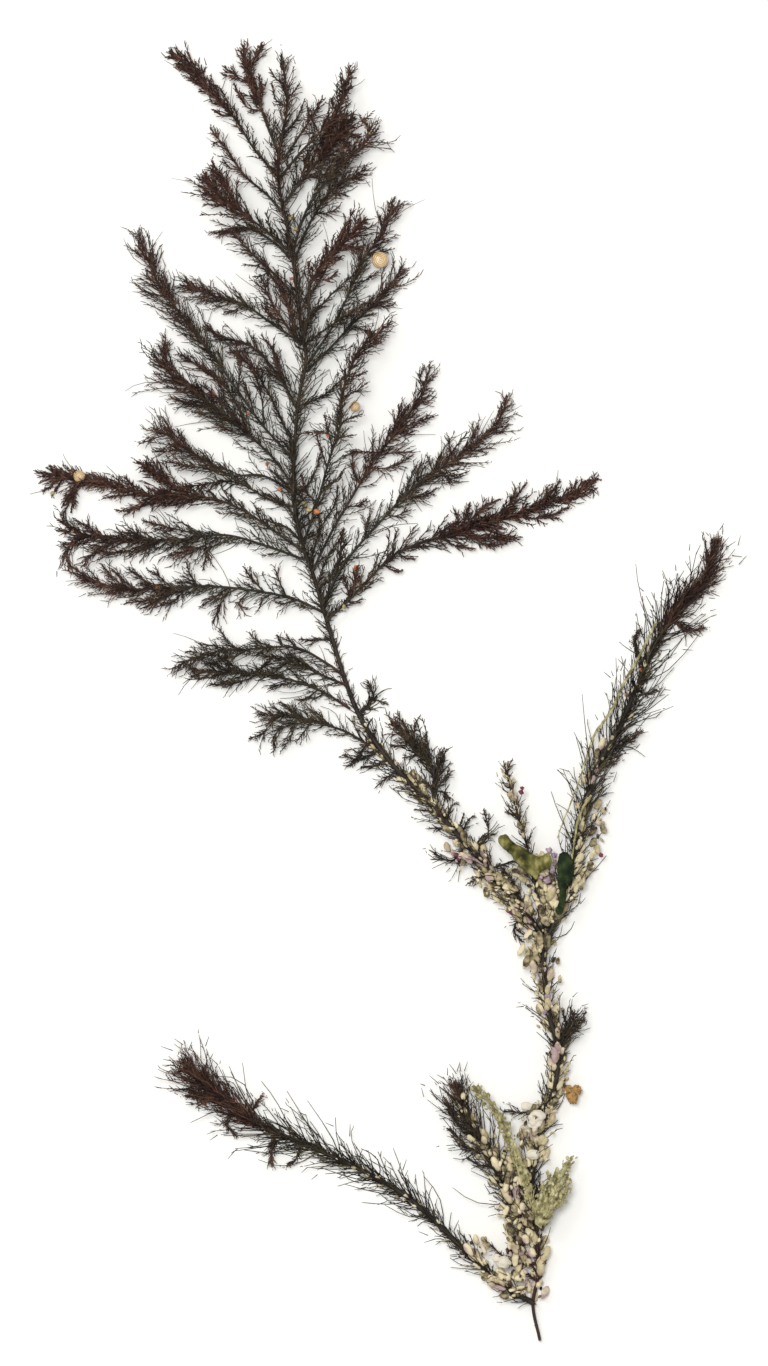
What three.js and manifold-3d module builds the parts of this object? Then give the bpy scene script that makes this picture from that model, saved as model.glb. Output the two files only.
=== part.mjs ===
// A dried branching seaweed, pressed flat and lying face up on the surface.
// +X is to the right, +Y runs from the root tip to the leader, +Z is up. Units are millimetres.
import * as THREE from 'three';
import { mergeVertices } from 'three/addons/utils/BufferGeometryUtils.js';
import Module from 'manifold-3d';

const wasm = await Module();
wasm.setup();

// Driving dimensions
const THALLUS_LENGTH = 280;
const GAP = 0.34;
const ARM_RADIUS = 0.8;
const FROND_RADIUS = 0.55;
const TIP_RADIUS = 0.2;
const BRANCH_RADIUS = 0.42;
const WHORL_SPACING = 5;
const MERGE_TOLERANCES = [0.05, 0.03, 0.015];
const EDGE_END = 0.0001;
const SPINE_DROPS = 14;
const PINCH = 0.004;
const PINCH_BACK = 0.012;
const WHORL_LENGTH = 0.7;
const SPINE_CEILING = 9.4;
const SPINE_FLOOR = 0.12;
const SPINE_APART = 0.14;
const FACING_SHARE = 0.86;
const OUTER_START = 0.55;
const STEM_TESTS = 24;
const ROD_STEP = 3;
const PRESSED = 0.9;
const BLADE_THICKNESS = 0.7;

// Picture rows and columns, in pixels, that the drawn routes are given in
const TOP_ROW = 42;
const ROOT_TIP_ROW = 1341;
const CENTRE_ROW = 691.5;
const CENTRE_COLUMN = 388;
const PIXEL = THALLUS_LENGTH / (ROOT_TIP_ROW - TOP_ROW);

const UP = new THREE.Vector3(0, 0, 1);
const group = new THREE.Group();

// Seeded draw between 0 and 1
let seed = 7;
function draw() {
  seed = (seed + 0x6d2b79f5) | 0;
  let mixed = Math.imul(seed ^ (seed >>> 15), 1 | seed);
  mixed = (mixed + Math.imul(mixed ^ (mixed >>> 7), 61 | mixed)) ^ mixed;
  return ((mixed ^ (mixed >>> 14)) >>> 0) / 4294967296;
}

function between(low, high) {
  return low + (high - low) * draw();
}

// Value of a list of evenly spread levels at a share of the way along
function levelAt(levels, share) {
  const place = Math.min(Math.max(share, 0), 1) * (levels.length - 1);
  const index = Math.min(Math.floor(place), levels.length - 2);
  return THREE.MathUtils.lerp(levels[index], levels[index + 1], place - index);
}

// A drawn pixel at a height, in millimetres
function spot([column, row], height) {
  return new THREE.Vector3((column - CENTRE_COLUMN) * PIXEL, (CENTRE_ROW - row) * PIXEL, height);
}

// Spline through a drawn route, with its height taken from a list of levels
function routeCurve(route, levels) {
  const points = route.map((pixel, i) => spot(pixel, levelAt(levels, i / (route.length - 1))));
  return new THREE.CatmullRomCurve3(points, false, 'centripetal');
}

function solidOf(geometry) {
  geometry.deleteAttribute('normal');
  geometry.deleteAttribute('uv');
  const merged = mergeVertices(geometry, 1e-5);
  const mesh = new wasm.Mesh({
    numProp: 3,
    vertProperties: new Float32Array(merged.attributes.position.array),
    triVerts: new Uint32Array(merged.index.array),
  });
  return new wasm.Manifold(mesh);
}

// Where an edge of a mesh passes through one of its faces, or nothing where none does
function crossingOf(geometry) {
  const corners = [];
  for (let i = 0; i < geometry.attributes.position.count; i += 1) {
    corners.push(new THREE.Vector3().fromBufferAttribute(geometry.attributes.position, i));
  }
  const index = geometry.index.array;
  const triangles = [];
  for (let i = 0; i < index.length; i += 3) {
    const own = [index[i], index[i + 1], index[i + 2]];
    triangles.push({ own, box: new THREE.Box3().setFromPoints(own.map((k) => corners[k])) });
  }
  const ray = new THREE.Ray();
  const hit = new THREE.Vector3();
  for (const { own: edgeSource } of triangles) {
    for (let k = 0; k < 3; k += 1) {
      const first = edgeSource[k];
      const second = edgeSource[(k + 1) % 3];
      const edgeBox = new THREE.Box3().setFromPoints([corners[first], corners[second]]);
      const length = corners[first].distanceTo(corners[second]);
      ray.origin.copy(corners[first]);
      ray.direction.copy(corners[second]).sub(corners[first]).normalize();
      for (const { own, box } of first < second ? triangles : []) {
        if (own.includes(first) || own.includes(second) || !box.intersectsBox(edgeBox)) {
          continue;
        }
        const met = ray.intersectTriangle(...own.map((i) => corners[i]), false, hit);
        const along = met ? hit.distanceTo(corners[first]) : 0;
        if (along > EDGE_END && along < length - EDGE_END) {
          return hit.clone();
        }
      }
    }
  }
  return null;
}

// The mesh of a solid with its needless corners left out, as long as no face then crosses another
function geometryOf(solid) {
  let geometry = null;
  for (const tolerance of MERGE_TOLERANCES) {
    const mesh = solid.simplify(tolerance).getMesh();
    geometry = new THREE.BufferGeometry();
    geometry.setAttribute('position', new THREE.BufferAttribute(new Float32Array(mesh.vertProperties), 3));
    geometry.setIndex(new THREE.BufferAttribute(new Uint32Array(mesh.triVerts), 1));
    geometry.computeVertexNormals();
    openPinches(geometry);
    if (!crossingOf(geometry)) {
      break;
    }
  }
  return geometry;
}

// Corners of one body that all but touch are drawn back into it, so that they stay apart
function openPinches(geometry) {
  const { position, normal } = geometry.attributes;
  const corners = [];
  for (let i = 0; i < position.count; i += 1) {
    corners.push(new THREE.Vector3().fromBufferAttribute(position, i));
  }
  const close = new Set();
  corners.forEach((corner, i) => {
    for (let k = i + 1; k < corners.length; k += 1) {
      if (corner.distanceToSquared(corners[k]) < PINCH ** 2) {
        close.add(i).add(k);
      }
    }
  });
  for (const i of close) {
    const inward = new THREE.Vector3().fromBufferAttribute(normal, i).multiplyScalar(-PINCH_BACK);
    const moved = corners[i].add(inward);
    position.setXYZ(i, moved.x, moved.y, moved.z);
  }
  return geometry;
}

// Joins solids and keeps the largest body
function joined(solids) {
  const bodies = wasm.Manifold.union(solids).decompose();
  return bodies.reduce((best, body) => (body.volume() > best.volume() ? body : best));
}

// A closed cylinder bent along a curve, with its radius given along the way
function bentTube(curve, radiusAt, sides, steps, flatness = 1) {
  const geometry = new THREE.CylinderGeometry(1, 1, 1, sides, steps);
  const position = geometry.attributes.position;
  const tangent = new THREE.Vector3();
  const side = new THREE.Vector3();
  const lift = new THREE.Vector3();
  const point = new THREE.Vector3();
  for (let i = 0; i < position.count; i += 1) {
    const share = THREE.MathUtils.clamp(position.getY(i) + 0.5, 0, 1);
    curve.getTangentAt(share, tangent);
    side.crossVectors(tangent, UP).normalize();
    lift.crossVectors(side, tangent);
    curve.getPointAt(share, point);
    const radius = radiusAt(share, Math.atan2(position.getZ(i), position.getX(i)));
    point.addScaledVector(side, position.getX(i) * radius);
    point.addScaledVector(lift, position.getZ(i) * radius * flatness);
    position.setXYZ(i, point.x, point.y, point.z);
  }
  return geometry;
}

// What is already in place: short tapered rods, each with the node that it belongs to
const placed = [];

function register(node, start, end, startRadius, endRadius) {
  const box = new THREE.Box3().setFromPoints([start, end]).expandByScalar(Math.max(startRadius, endRadius));
  placed.push({ node, line: new THREE.Line3(start, end), startRadius, endRadius, box });
}

function registerCurve(node, curve, radiusAt, steps) {
  const points = curve.getSpacedPoints(steps);
  for (let i = 0; i < steps; i += 1) {
    register(node, points[i], points[i + 1], radiusAt(i / steps), radiusAt((i + 1) / steps));
  }
}

// Smallest free distance from a rod to the other nodes
const nearHere = new THREE.Vector3();
const nearThere = new THREE.Vector3();
function clearance(node, line, startRadius, endRadius) {
  const reach = new THREE.Box3().setFromPoints([line.start, line.end]).expandByScalar(startRadius + GAP);
  let free = Infinity;
  for (const rod of placed) {
    if (rod.node !== node && rod.box.intersectsBox(reach)) {
      const distance = Math.sqrt(line.distanceSqToLine3(rod.line, nearHere, nearThere));
      const here = line.closestPointToPointParameter(nearHere, true);
      const there = rod.line.closestPointToPointParameter(nearThere, true);
      const own = THREE.MathUtils.lerp(startRadius, endRadius, here);
      const other = THREE.MathUtils.lerp(rod.startRadius, rod.endRadius, there);
      free = Math.min(free, distance - own - other);
    }
  }
  return free;
}

// One stem: its curve, its number of sides, the half width of its spray in pixels and its radius along the way
function makeStem(node, curve, radii, reach, sides) {
  const radiusAt = (share) => levelAt(radii, share);
  return { node, curve, length: curve.getLength(), sides, reach, radiusAt };
}

// Directions across a stem at a share of the way along it
function frameAt(curve, share) {
  const tangent = curve.getTangentAt(share);
  const side = new THREE.Vector3().crossVectors(tangent, UP).normalize();
  const lift = new THREE.Vector3().crossVectors(side, tangent);
  return { point: curve.getPointAt(share), tangent, side, lift };
}

function ringAt(stem, share, roll) {
  const { point, side, lift } = frameAt(stem.curve, share);
  const radius = stem.radiusAt(share);
  const ring = [];
  for (let i = 0; i < stem.sides; i += 1) {
    const angle = roll + (i / stem.sides) * Math.PI * 2;
    const corner = point.clone().addScaledVector(side, Math.cos(angle) * radius);
    ring.push(corner.addScaledVector(lift, Math.sin(angle) * radius * PRESSED));
  }
  return ring;
}

// The drawn route with its first stretch left out, so that it starts clear of what carries it
function clearStart(node, curve, radius) {
  const points = curve.getSpacedPoints(120);
  let first = 0;
  while (first < 60) {
    const line = new THREE.Line3(points[first], points[first + 1]);
    if (clearance(node, line, radius, radius) >= GAP) {
      break;
    }
    first += 1;
  }
  const kept = points.slice(first).filter((point, i, all) => i % 7 === 0 || i === all.length - 1);
  return new THREE.CatmullRomCurve3(kept, false, 'centripetal');
}

// A side branch starts on the middle line of the stem that carries it
function branchCurve(parent, route, rise) {
  const start = spot(route[0], 0);
  const samples = parent.curve.getSpacedPoints(160);
  const flat = (point) => Math.hypot(point.x - start.x, point.y - start.y);
  const root = samples.reduce((best, point) => (flat(point) < flat(best) ? point : best));
  const last = route.length - 1;
  const points = route.map((pixel, i) => {
    const height = root.z + rise * (i / last);
    return i === 0 ? root.clone() : spot(pixel, Math.max(height, BRANCH_RADIUS));
  });
  return new THREE.CatmullRomCurve3(points, false, 'centripetal');
}

// Main axis
const AXIS_ROUTE = [
  [540, 1341], [533, 1305], [538, 1276], [537, 1240], [532, 1192], [538, 1138], [552, 1096], [559, 1053],
  [549, 1014], [543, 960], [541, 935], [522, 911], [485, 865], [451, 827], [424, 797], [388, 759],
  [361, 719], [347, 686], [331, 635], [314, 578], [299, 532], [294, 486], [295, 440], [299, 397],
  [306, 360], [300, 318], [291, 248], [278, 170], [287, 104], [281, 55],
];
const AXIS_LEVELS = [1.2, 1.5, 2, 2.1, 2.1, 2.1, 2.1, 2, 1.7, 1.2, 0.6, 0.6, 1.6, 2.8, 3.6, 3.8, 3.8, 3.8, 3.4];
const AXIS_RADII = [0.4, 0.5, 0.7, 0.8, 0.85, 0.85, 0.85, 0.88, 0.8, 0.68, 0.56, 0.5, 0.48, 0.42, 0.25];
const AXIS_REACH = [3, 3, 4, 6, 6, 7, 6, 4];
const AXIS_BRANCHES = [
  { route: [[284, 86], [277, 80], [270, 70]], reach: [3, 4, 3], rise: 1 },
  { route: [[287, 108], [276, 100], [272, 84]], reach: [3, 4, 3], rise: -1 },
  { route: [[286, 138], [295, 122], [304, 101]], reach: [3, 4, 3], rise: -2 },
  { route: [[296, 506], [270, 500], [235, 482], [182, 487]], reach: [4, 7, 6], rise: -2.4 },
  { route: [[294, 448], [272, 400], [253, 369], [230, 349]], reach: [4, 7, 6], rise: -2.2 },
  { route: [[299, 407], [327, 393], [345, 375]], reach: [4, 6, 5], rise: -2 },
  { route: [[323, 610], [338, 565], [341, 542], [343, 529]], reach: [6, 8, 6], rise: -2 },
  { route: [[332, 640], [311, 640], [300, 639]], reach: [3, 5, 4], rise: 1 },
  { route: [[382, 752], [360, 760], [343, 755]], reach: [4, 6, 5], rise: 0.5 },
  { route: [[359, 716], [373, 697], [368, 682]], reach: [5, 9, 8], rise: 1 },
  { route: [[466, 842], [452, 861], [436, 855]], reach: [5, 9, 9], rise: -0.5 },
  { route: [[473, 852], [488, 834], [484, 811]], reach: [3, 5, 5], rise: 1 },
  { route: [[524, 914], [514, 930], [522, 941]], reach: [4, 6, 6], rise: 0.6 },
  { route: [[557, 1052], [564, 1036], [574, 1012]], reach: [7, 11, 9], rise: 1.4 },
  { route: [[549, 1102], [530, 1112], [504, 1112]], reach: [3, 5, 5], rise: -0.8 },
  { route: [[536, 1264], [512, 1262], [487, 1242]], reach: [3, 4, 4], rise: 1.6 },
];

// Fronds. Each has its route, the half width of its spray in pixels and its height in millimetres from root to tip.
const FRONDS = [
  {
    node: 'top_frond',
    route: [[278, 152], [268, 128], [257, 97], [247, 70], [243, 47]],
    reach: [5, 7, 8],
    levels: [3.6, 2.4, 1.8],
    tint: 'tip',
    branches: [
      { route: [[249, 72], [257, 53], [261, 44]], reach: [5, 6, 5], rise: 0.4 },
      { route: [[252, 84], [240, 78], [223, 66]], reach: [3, 5, 4], rise: -0.4 },
      { route: [[262, 112], [247, 107], [234, 84]], reach: [3, 4, 3], rise: -0.4 },
    ],
  },
  {
    node: 'left_frond_top',
    route: [[277, 176], [254, 149], [235, 119], [218, 100], [200, 77], [172, 52]],
    reach: [4, 5, 9, 12, 8],
    levels: [3.6, 4.4, 3.2, 1.2, 0.6],
    tint: 'tip',
    branches: [],
  },
  {
    node: 'left_frond_thin',
    route: [[282, 212], [267, 195], [245, 176], [229, 153], [210, 128]],
    reach: [3, 4, 5],
    levels: [3.8, 3.2, 2.6],
    tint: 'tip',
    branches: [],
  },
  {
    node: 'left_frond_clump',
    route: [[287, 250], [267, 232], [241, 212], [215, 191], [206, 178]],
    reach: [5, 10, 15, 15, 10],
    levels: [3.8, 4.6, 3.4],
    tint: 'tip',
    branches: [{ route: [[243, 214], [226, 186], [214, 166]], reach: [8, 8, 5], rise: 1.6 }],
  },
  {
    node: 'left_frond_under_clump',
    route: [[290, 258], [271, 240], [245, 227], [215, 233]],
    reach: [4, 6, 6],
    levels: [3.4, 1.6, 1],
    tint: 'middle',
    branches: [],
  },
  {
    node: 'left_frond_short',
    route: [[296, 298], [275, 275], [255, 257], [231, 232]],
    reach: [4, 6, 5],
    levels: [3.8, 4.4, 4],
    tint: 'middle',
    branches: [],
  },
  {
    node: 'left_frond_inner',
    route: [[301, 346], [284, 322], [268, 296], [263, 280]],
    reach: [5, 8, 7],
    levels: [4.4, 5.8, 5.6],
    tint: 'tip',
    branches: [],
  },
  {
    node: 'left_frond_arch',
    route: [[302, 343], [277, 327], [243, 304], [212, 295], [181, 285]],
    reach: [5, 7, 9, 9],
    levels: [3.4, 2, 1.6, 1.4],
    tint: 'middle',
    branches: [],
  },
  {
    node: 'left_frond_slim',
    route: [[298, 412], [282, 381], [252, 347], [222, 337], [204, 326]],
    reach: [4, 6, 6],
    levels: [3.8, 2.6, 1.6],
    tint: 'middle',
    branches: [],
  },
  {
    node: 'left_frond_long',
    route: [[294, 460], [263, 426], [237, 390], [209, 351], [181, 315], [157, 281], [138, 233]],
    reach: [5, 7, 9, 12, 14, 8],
    levels: [4, 5.4, 5, 4, 3, 1.2],
    tint: 'middle',
    branches: [],
  },
  {
    node: 'left_frond_broad',
    route: [[296, 490], [271, 456], [232, 421], [195, 392], [169, 371], [162, 350]],
    reach: [6, 10, 16, 15, 9],
    levels: [3.8, 2.6, 2, 1.6],
    tint: 'middle',
    branches: [
      { route: [[212, 406], [194, 404], [172, 398]], reach: [5, 6, 4], rise: -0.6 },
      { route: [[250, 437], [229, 392], [206, 372], [178, 353]], reach: [7, 8, 6], rise: -0.3 },
    ],
  },
  {
    node: 'left_frond_forked',
    route: [[295, 494], [263, 476], [230, 475], [201, 458], [173, 439], [154, 428]],
    reach: [4, 6, 9, 9],
    levels: [3.8, 4.6, 4.6, 3.6],
    tint: 'middle',
    branches: [
      { route: [[206, 462], [185, 452], [154, 452]], reach: [4, 6, 5], rise: -1 },
      { route: [[222, 474], [190, 466], [166, 462]], reach: [4, 5, 4], rise: -1.4 },
    ],
  },
  {
    node: 'left_frond_longest',
    route: [[304, 552], [274, 531], [242, 510], [210, 498], [154, 497], [100, 482], [45, 474]],
    reach: [5, 8, 12, 10, 9, 11, 11],
    levels: [3.8, 3, 2.6, 2.2, 1.6, 0.8],
    tint: 'tip',
    branches: [
      { route: [[204, 497], [181, 489], [157, 474], [138, 462]], reach: [8, 12, 6], rise: 1.4 },
      { route: [[165, 497], [134, 509], [117, 511]], reach: [4, 5, 4], rise: 0.6 },
      { route: [[78, 479], [70, 500], [63, 514]], reach: [4, 5, 4], rise: 0.4 },
    ],
  },
  {
    node: 'left_frond_wide',
    route: [[305, 560], [272, 548], [225, 535], [181, 539], [121, 539], [60, 530]],
    reach: [5, 8, 10, 10, 10, 9],
    levels: [3.6, 2.4, 1.6, 0.8, 0.6],
    tint: 'middle',
    branches: [
      { route: [[205, 536], [188, 532], [143, 521]], reach: [4, 5, 4], rise: 1.2 },
      { route: [[222, 536], [201, 547], [170, 556]], reach: [5, 8, 6], rise: 1.4 },
      { route: [[158, 540], [121, 552], [93, 553], [83, 566]], reach: [4, 6, 5], rise: 1.4 },
      { route: [[82, 534], [68, 549], [68, 570]], reach: [5, 6, 4], rise: 0.8 },
    ],
  },
  {
    node: 'left_frond_low',
    route: [[324, 613], [297, 600], [256, 591], [206, 586], [134, 589], [99, 583], [72, 567]],
    reach: [5, 7, 8, 8, 7, 6],
    levels: [3, 2.4, 1.6, 1.4, 1.8, 2.4],
    tint: 'middle',
    branches: [
      { route: [[265, 593], [253, 580], [246, 571]], reach: [5, 7, 5], rise: 0.6 },
      { route: [[232, 588], [224, 598], [213, 621]], reach: [4, 5, 4], rise: 0.4 },
      { route: [[198, 586], [190, 574], [186, 562]], reach: [3, 5, 3], rise: 0.6 },
      { route: [[190, 586], [161, 598], [126, 603]], reach: [4, 5, 4], rise: -0.4 },
      { route: [[273, 594], [263, 599], [259, 609]], reach: [3, 5, 4], rise: 0.4 },
      { route: [[128, 589], [113, 578], [102, 565]], reach: [3, 5, 4], rise: 0.6 },
    ],
  },
  {
    node: 'lower_left_frond_upper',
    route: [[345, 676], [326, 663], [297, 648], [252, 649], [206, 654], [171, 669]],
    reach: [4, 6, 7, 7, 5],
    levels: [1.2, 2, 3, 3.2, 2.4],
    tint: 'middle',
    branches: [
      { route: [[240, 650], [227, 640], [219, 629]], reach: [3, 4, 3], rise: 0.4 },
      { route: [[270, 648], [257, 641], [250, 633]], reach: [3, 4, 3], rise: 0.4 },
    ],
  },
  {
    node: 'lower_left_frond_middle',
    route: [[346, 685], [326, 677], [298, 664], [264, 655]],
    reach: [4, 7, 7, 5],
    levels: [1, 1, 1.2, 1.2],
    tint: 'middle',
    branches: [],
  },
  {
    node: 'lower_left_frond_lower',
    route: [[350, 709], [323, 692], [301, 683], [260, 674], [217, 672], [190, 669]],
    reach: [4, 7, 8, 8, 6],
    levels: [0.9, 1.4, 1.8, 1.4, 0.8],
    tint: 'middle',
    branches: [
      { route: [[262, 674], [236, 683], [210, 685]], reach: [3, 5, 4], rise: 0.4 },
      { route: [[318, 690], [305, 699], [296, 700]], reach: [3, 4, 4], rise: 0.3 },
    ],
  },
  {
    node: 'lowest_left_frond',
    route: [[370, 746], [344, 731], [318, 723], [291, 716], [260, 715]],
    reach: [5, 8, 9, 7],
    levels: [1.4, 2, 2, 1.4],
    tint: 'middle',
    branches: [
      { route: [[312, 722], [286, 727], [275, 735], [274, 751]], reach: [4, 6, 4], rise: 0.4 },
      { route: [[298, 717], [288, 708], [280, 702]], reach: [3, 4, 3], rise: 0.4 },
    ],
  },
  {
    node: 'right_frond_top_small',
    route: [[283, 160], [301, 134], [314, 114], [322, 99]],
    reach: [3, 5, 5],
    levels: [3.8, 4.6, 4.6],
    tint: 'tip',
    branches: [],
  },
  {
    node: 'right_frond_top',
    route: [[280, 178], [299, 155], [323, 130], [337, 112], [344, 92], [350, 68]],
    reach: [4, 6, 7, 8, 6],
    levels: [3.8, 5.6, 6, 5, 3.6],
    tint: 'tip',
    branches: [],
  },
  {
    node: 'right_frond_clump',
    route: [[284, 203], [312, 168], [335, 140], [350, 119]],
    reach: [8, 16, 18, 12],
    levels: [3.6, 2.6, 2.2],
    tint: 'tip',
    branches: [{ route: [[334, 142], [348, 134], [358, 136]], reach: [7, 7, 5], rise: 0.6 }],
  },
  {
    node: 'right_frond_outer',
    route: [[293, 252], [303, 219], [319, 191], [344, 163], [377, 131]],
    reach: [5, 8, 9, 7],
    levels: [3.8, 5.2, 5.4, 4],
    tint: 'middle',
    branches: [],
  },
  {
    node: 'right_frond_inner',
    route: [[294, 262], [309, 225], [330, 192], [364, 169]],
    reach: [5, 8, 9, 6],
    levels: [3.6, 2.6, 2, 1.2],
    tint: 'middle',
    branches: [],
  },
  {
    node: 'right_frond_dense',
    route: [[303, 345], [309, 312], [309, 288], [335, 251], [364, 221]],
    reach: [5, 7, 10, 12, 11],
    levels: [4.4, 5.8, 5.8, 5],
    tint: 'tip',
    branches: [],
  },
  {
    node: 'right_frond_amber',
    route: [[307, 365], [330, 331], [346, 300], [362, 262], [383, 231], [393, 200]],
    reach: [5, 7, 8, 9, 7],
    levels: [4, 4, 3.4, 2.6, 2.2],
    tint: 'middle',
    branches: [{ route: [[366, 254], [380, 252], [392, 249]], reach: [3, 4, 3], rise: 0 }],
  },
  {
    node: 'right_frond_spread',
    route: [[306, 372], [332, 346], [353, 323], [381, 297], [402, 267]],
    reach: [5, 8, 9, 7],
    levels: [3.6, 2.2, 1.4, 1],
    tint: 'middle',
    branches: [],
  },
  {
    node: 'right_frond_upright',
    route: [[303, 545], [318, 501], [329, 461], [340, 427], [343, 390], [361, 350], [390, 323]],
    reach: [5, 8, 8, 8, 8, 6],
    levels: [3.8, 5.2, 5.6, 5.6, 5, 3.6],
    tint: 'middle',
    branches: [
      { route: [[342, 399], [357, 391], [366, 384]], reach: [3, 4, 3], rise: 0.4 },
      { route: [[341, 424], [351, 418], [361, 415]], reach: [3, 4, 3], rise: 0.4 },
      { route: [[333, 450], [327, 427], [325, 415]], reach: [3, 5, 4], rise: 0.4 },
    ],
  },
  {
    node: 'right_frond_knobbly',
    route: [[312, 572], [332, 531], [352, 497], [375, 459], [398, 430], [421, 394], [430, 367]],
    reach: [6, 7, 8, 8, 8, 6],
    levels: [3.6, 3, 2.4, 1.8, 1.6, 1.6],
    tint: 'tip',
    branches: [
      { route: [[396, 433], [411, 424], [434, 416]], reach: [3, 4, 3], rise: 0.2 },
      { route: [[392, 438], [397, 420], [401, 403]], reach: [3, 4, 3], rise: 0.2 },
      { route: [[378, 456], [391, 453], [413, 452]], reach: [3, 4, 3], rise: 0 },
      { route: [[370, 467], [392, 467], [412, 455]], reach: [3, 4, 3], rise: -0.4 },
      { route: [[417, 402], [427, 402], [434, 397]], reach: [3, 4, 3], rise: 0.2 },
      { route: [[360, 485], [354, 470], [352, 455]], reach: [3, 4, 3], rise: -0.8 },
    ],
  },
  {
    node: 'right_frond_forked',
    route: [[322, 605], [344, 564], [378, 524], [417, 484], [459, 456], [500, 418], [507, 398]],
    reach: [5, 8, 11, 11, 8, 7],
    levels: [3, 2.2, 1.6, 1.4, 1.2],
    tint: 'middle',
    branches: [
      { route: [[462, 453], [477, 450], [492, 448]], reach: [3, 4, 3], rise: 0.4 },
      { route: [[430, 476], [450, 476], [467, 472]], reach: [3, 4, 3], rise: 0.4 },
      { route: [[404, 497], [421, 497], [437, 488]], reach: [3, 4, 3], rise: 0.4 },
      { route: [[418, 484], [418, 470], [422, 460]], reach: [3, 4, 3], rise: 0.4 },
    ],
  },
  {
    node: 'right_frond_longest',
    route: [[325, 622], [354, 595], [397, 553], [446, 535], [487, 524], [534, 507], [576, 493], [597, 479]],
    reach: [5, 10, 13, 14, 12, 10, 8],
    levels: [2.6, 2, 1.4, 0.9, 0.7],
    tint: 'tip',
    branches: [
      { route: [[452, 534], [482, 538], [521, 537]], reach: [4, 6, 4], rise: 1 },
      { route: [[490, 523], [511, 502], [526, 484]], reach: [4, 5, 4], rise: 0.8 },
      { route: [[536, 506], [546, 497], [560, 481]], reach: [3, 5, 4], rise: 0.6 },
      { route: [[460, 530], [479, 511], [499, 499]], reach: [4, 5, 4], rise: 1.4 },
      { route: [[344, 604], [354, 586], [358, 566]], reach: [5, 6, 5], rise: 1.4 },
    ],
  },
  {
    node: 'side_frond',
    route: [[444, 822], [433, 797], [433, 772], [420, 750], [393, 725]],
    reach: [8, 13, 13, 11],
    levels: [2.6, 2, 1.4, 1.4],
    tint: 'middle',
    branches: [
      { route: [[433, 786], [441, 760], [443, 750]], reach: [4, 5, 4], rise: 0.8 },
      { route: [[434, 794], [446, 776], [449, 770]], reach: [4, 5, 4], rise: 0.4 },
      { route: [[414, 742], [416, 722], [420, 716]], reach: [3, 3, 2], rise: 0.4 },
    ],
  },
  {
    node: 'right_arm',
    route: [
      [545, 946], [561, 906], [574, 864], [584, 816], [595, 771], [617, 733], [636, 690], [655, 648],
      [679, 607], [702, 583], [721, 529],
    ],
    reach: [9, 11, 12, 13, 14, 17, 17, 9],
    levels: [2, 1.9, 1.9, 1.6, 0.9, 0.42, 0.42, 0.6, 1],
    radius: ARM_RADIUS,
    tint: 'middle',
    branches: [
      { route: [[607, 750], [628, 742], [640, 732]], reach: [4, 6, 5], rise: 1 },
      { route: [[672, 618], [697, 640], [708, 628]], reach: [5, 6, 5], rise: 1 },
      { route: [[645, 668], [634, 640], [640, 630]], reach: [4, 5, 4], rise: 1.4 },
    ],
  },
  {
    node: 'thin_twig',
    route: [[540, 918], [534, 880], [528, 850], [519, 819], [511, 790], [504, 764]],
    reach: [3, 5, 6, 5],
    levels: [2.6, 2.6, 3, 2.4],
    tint: 'axis',
    branches: [],
  },
  {
    node: 'stub_frond',
    route: [[534, 1236], [511, 1203], [491, 1156], [467, 1118], [456, 1086]],
    reach: [7, 11, 13, 10],
    levels: [2.4, 2.2, 2, 1.6],
    tint: 'middle',
    branches: [{ route: [[487, 1150], [470, 1150], [450, 1130]], reach: [5, 6, 5], rise: 0.4 }],
  },
  {
    node: 'lower_frond',
    route: [
      [534, 1304], [504, 1287], [474, 1260], [441, 1228], [406, 1197], [363, 1172], [316, 1150],
      [264, 1128], [220, 1097], [174, 1055],
    ],
    reach: [7, 9, 10, 12, 13, 17, 18, 13],
    levels: [1.6, 1.7, 1.2, 0.6, 0.4, 0.4, 0.5, 0.9, 1.2],
    radius: ARM_RADIUS * 0.8,
    tint: 'tip',
    branches: [
      { route: [[222, 1099], [200, 1098], [187, 1097]], reach: [6, 7, 5], rise: 0.8 },
      { route: [[277, 1133], [272, 1150], [272, 1165]], reach: [5, 6, 5], rise: 0.6 },
    ],
  },
];

// Limy crusts. A lumpy sleeve follows the stem that it grew on.
const CRUSTS = [
  { node: 'crust_upper', host: 'main_axis', from: [462, 838], to: [441, 816], girth: 2 },
  { node: 'crust_fork', host: 'main_axis', from: [536, 926], to: [480, 858], girth: 2.5 },
  { node: 'crust_neck', host: 'main_axis', from: [546, 996], to: [542, 952], girth: 2.3 },
  { node: 'crust_middle', host: 'main_axis', from: [557, 1040], to: [548, 1006], girth: 2.1 },
  { node: 'crust_lower', host: 'main_axis', from: [537, 1148], to: [557, 1064], girth: 2.5 },
  { node: 'crust_base', host: 'main_axis', from: [537, 1292], to: [533, 1222], girth: 2.4 },
  { node: 'crust_stub', host: 'stub_frond', from: [506, 1192], to: [486, 1144], girth: 2.3 },
  { node: 'crust_arm_low', host: 'right_arm', from: [560, 909], to: [573, 868], girth: 2.2 },
  { node: 'crust_arm_high', host: 'right_arm', from: [577, 850], to: [592, 784], girth: 2 },
  { node: 'crust_frond_base', host: 'lower_frond', from: [508, 1289], to: [484, 1270], girth: 2 },
  { node: 'crust_twig', host: 'thin_twig', from: [523, 832], to: [507, 774], girth: 1.75 },
];
const CRUST_SIDES = 7;
const CRUST_STEP = 1.7;
const CRUST_RELIEF = 0.4;
const CRUST_END = 0.7;

const stems = new Map();
const stemOf = new Map();

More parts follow.
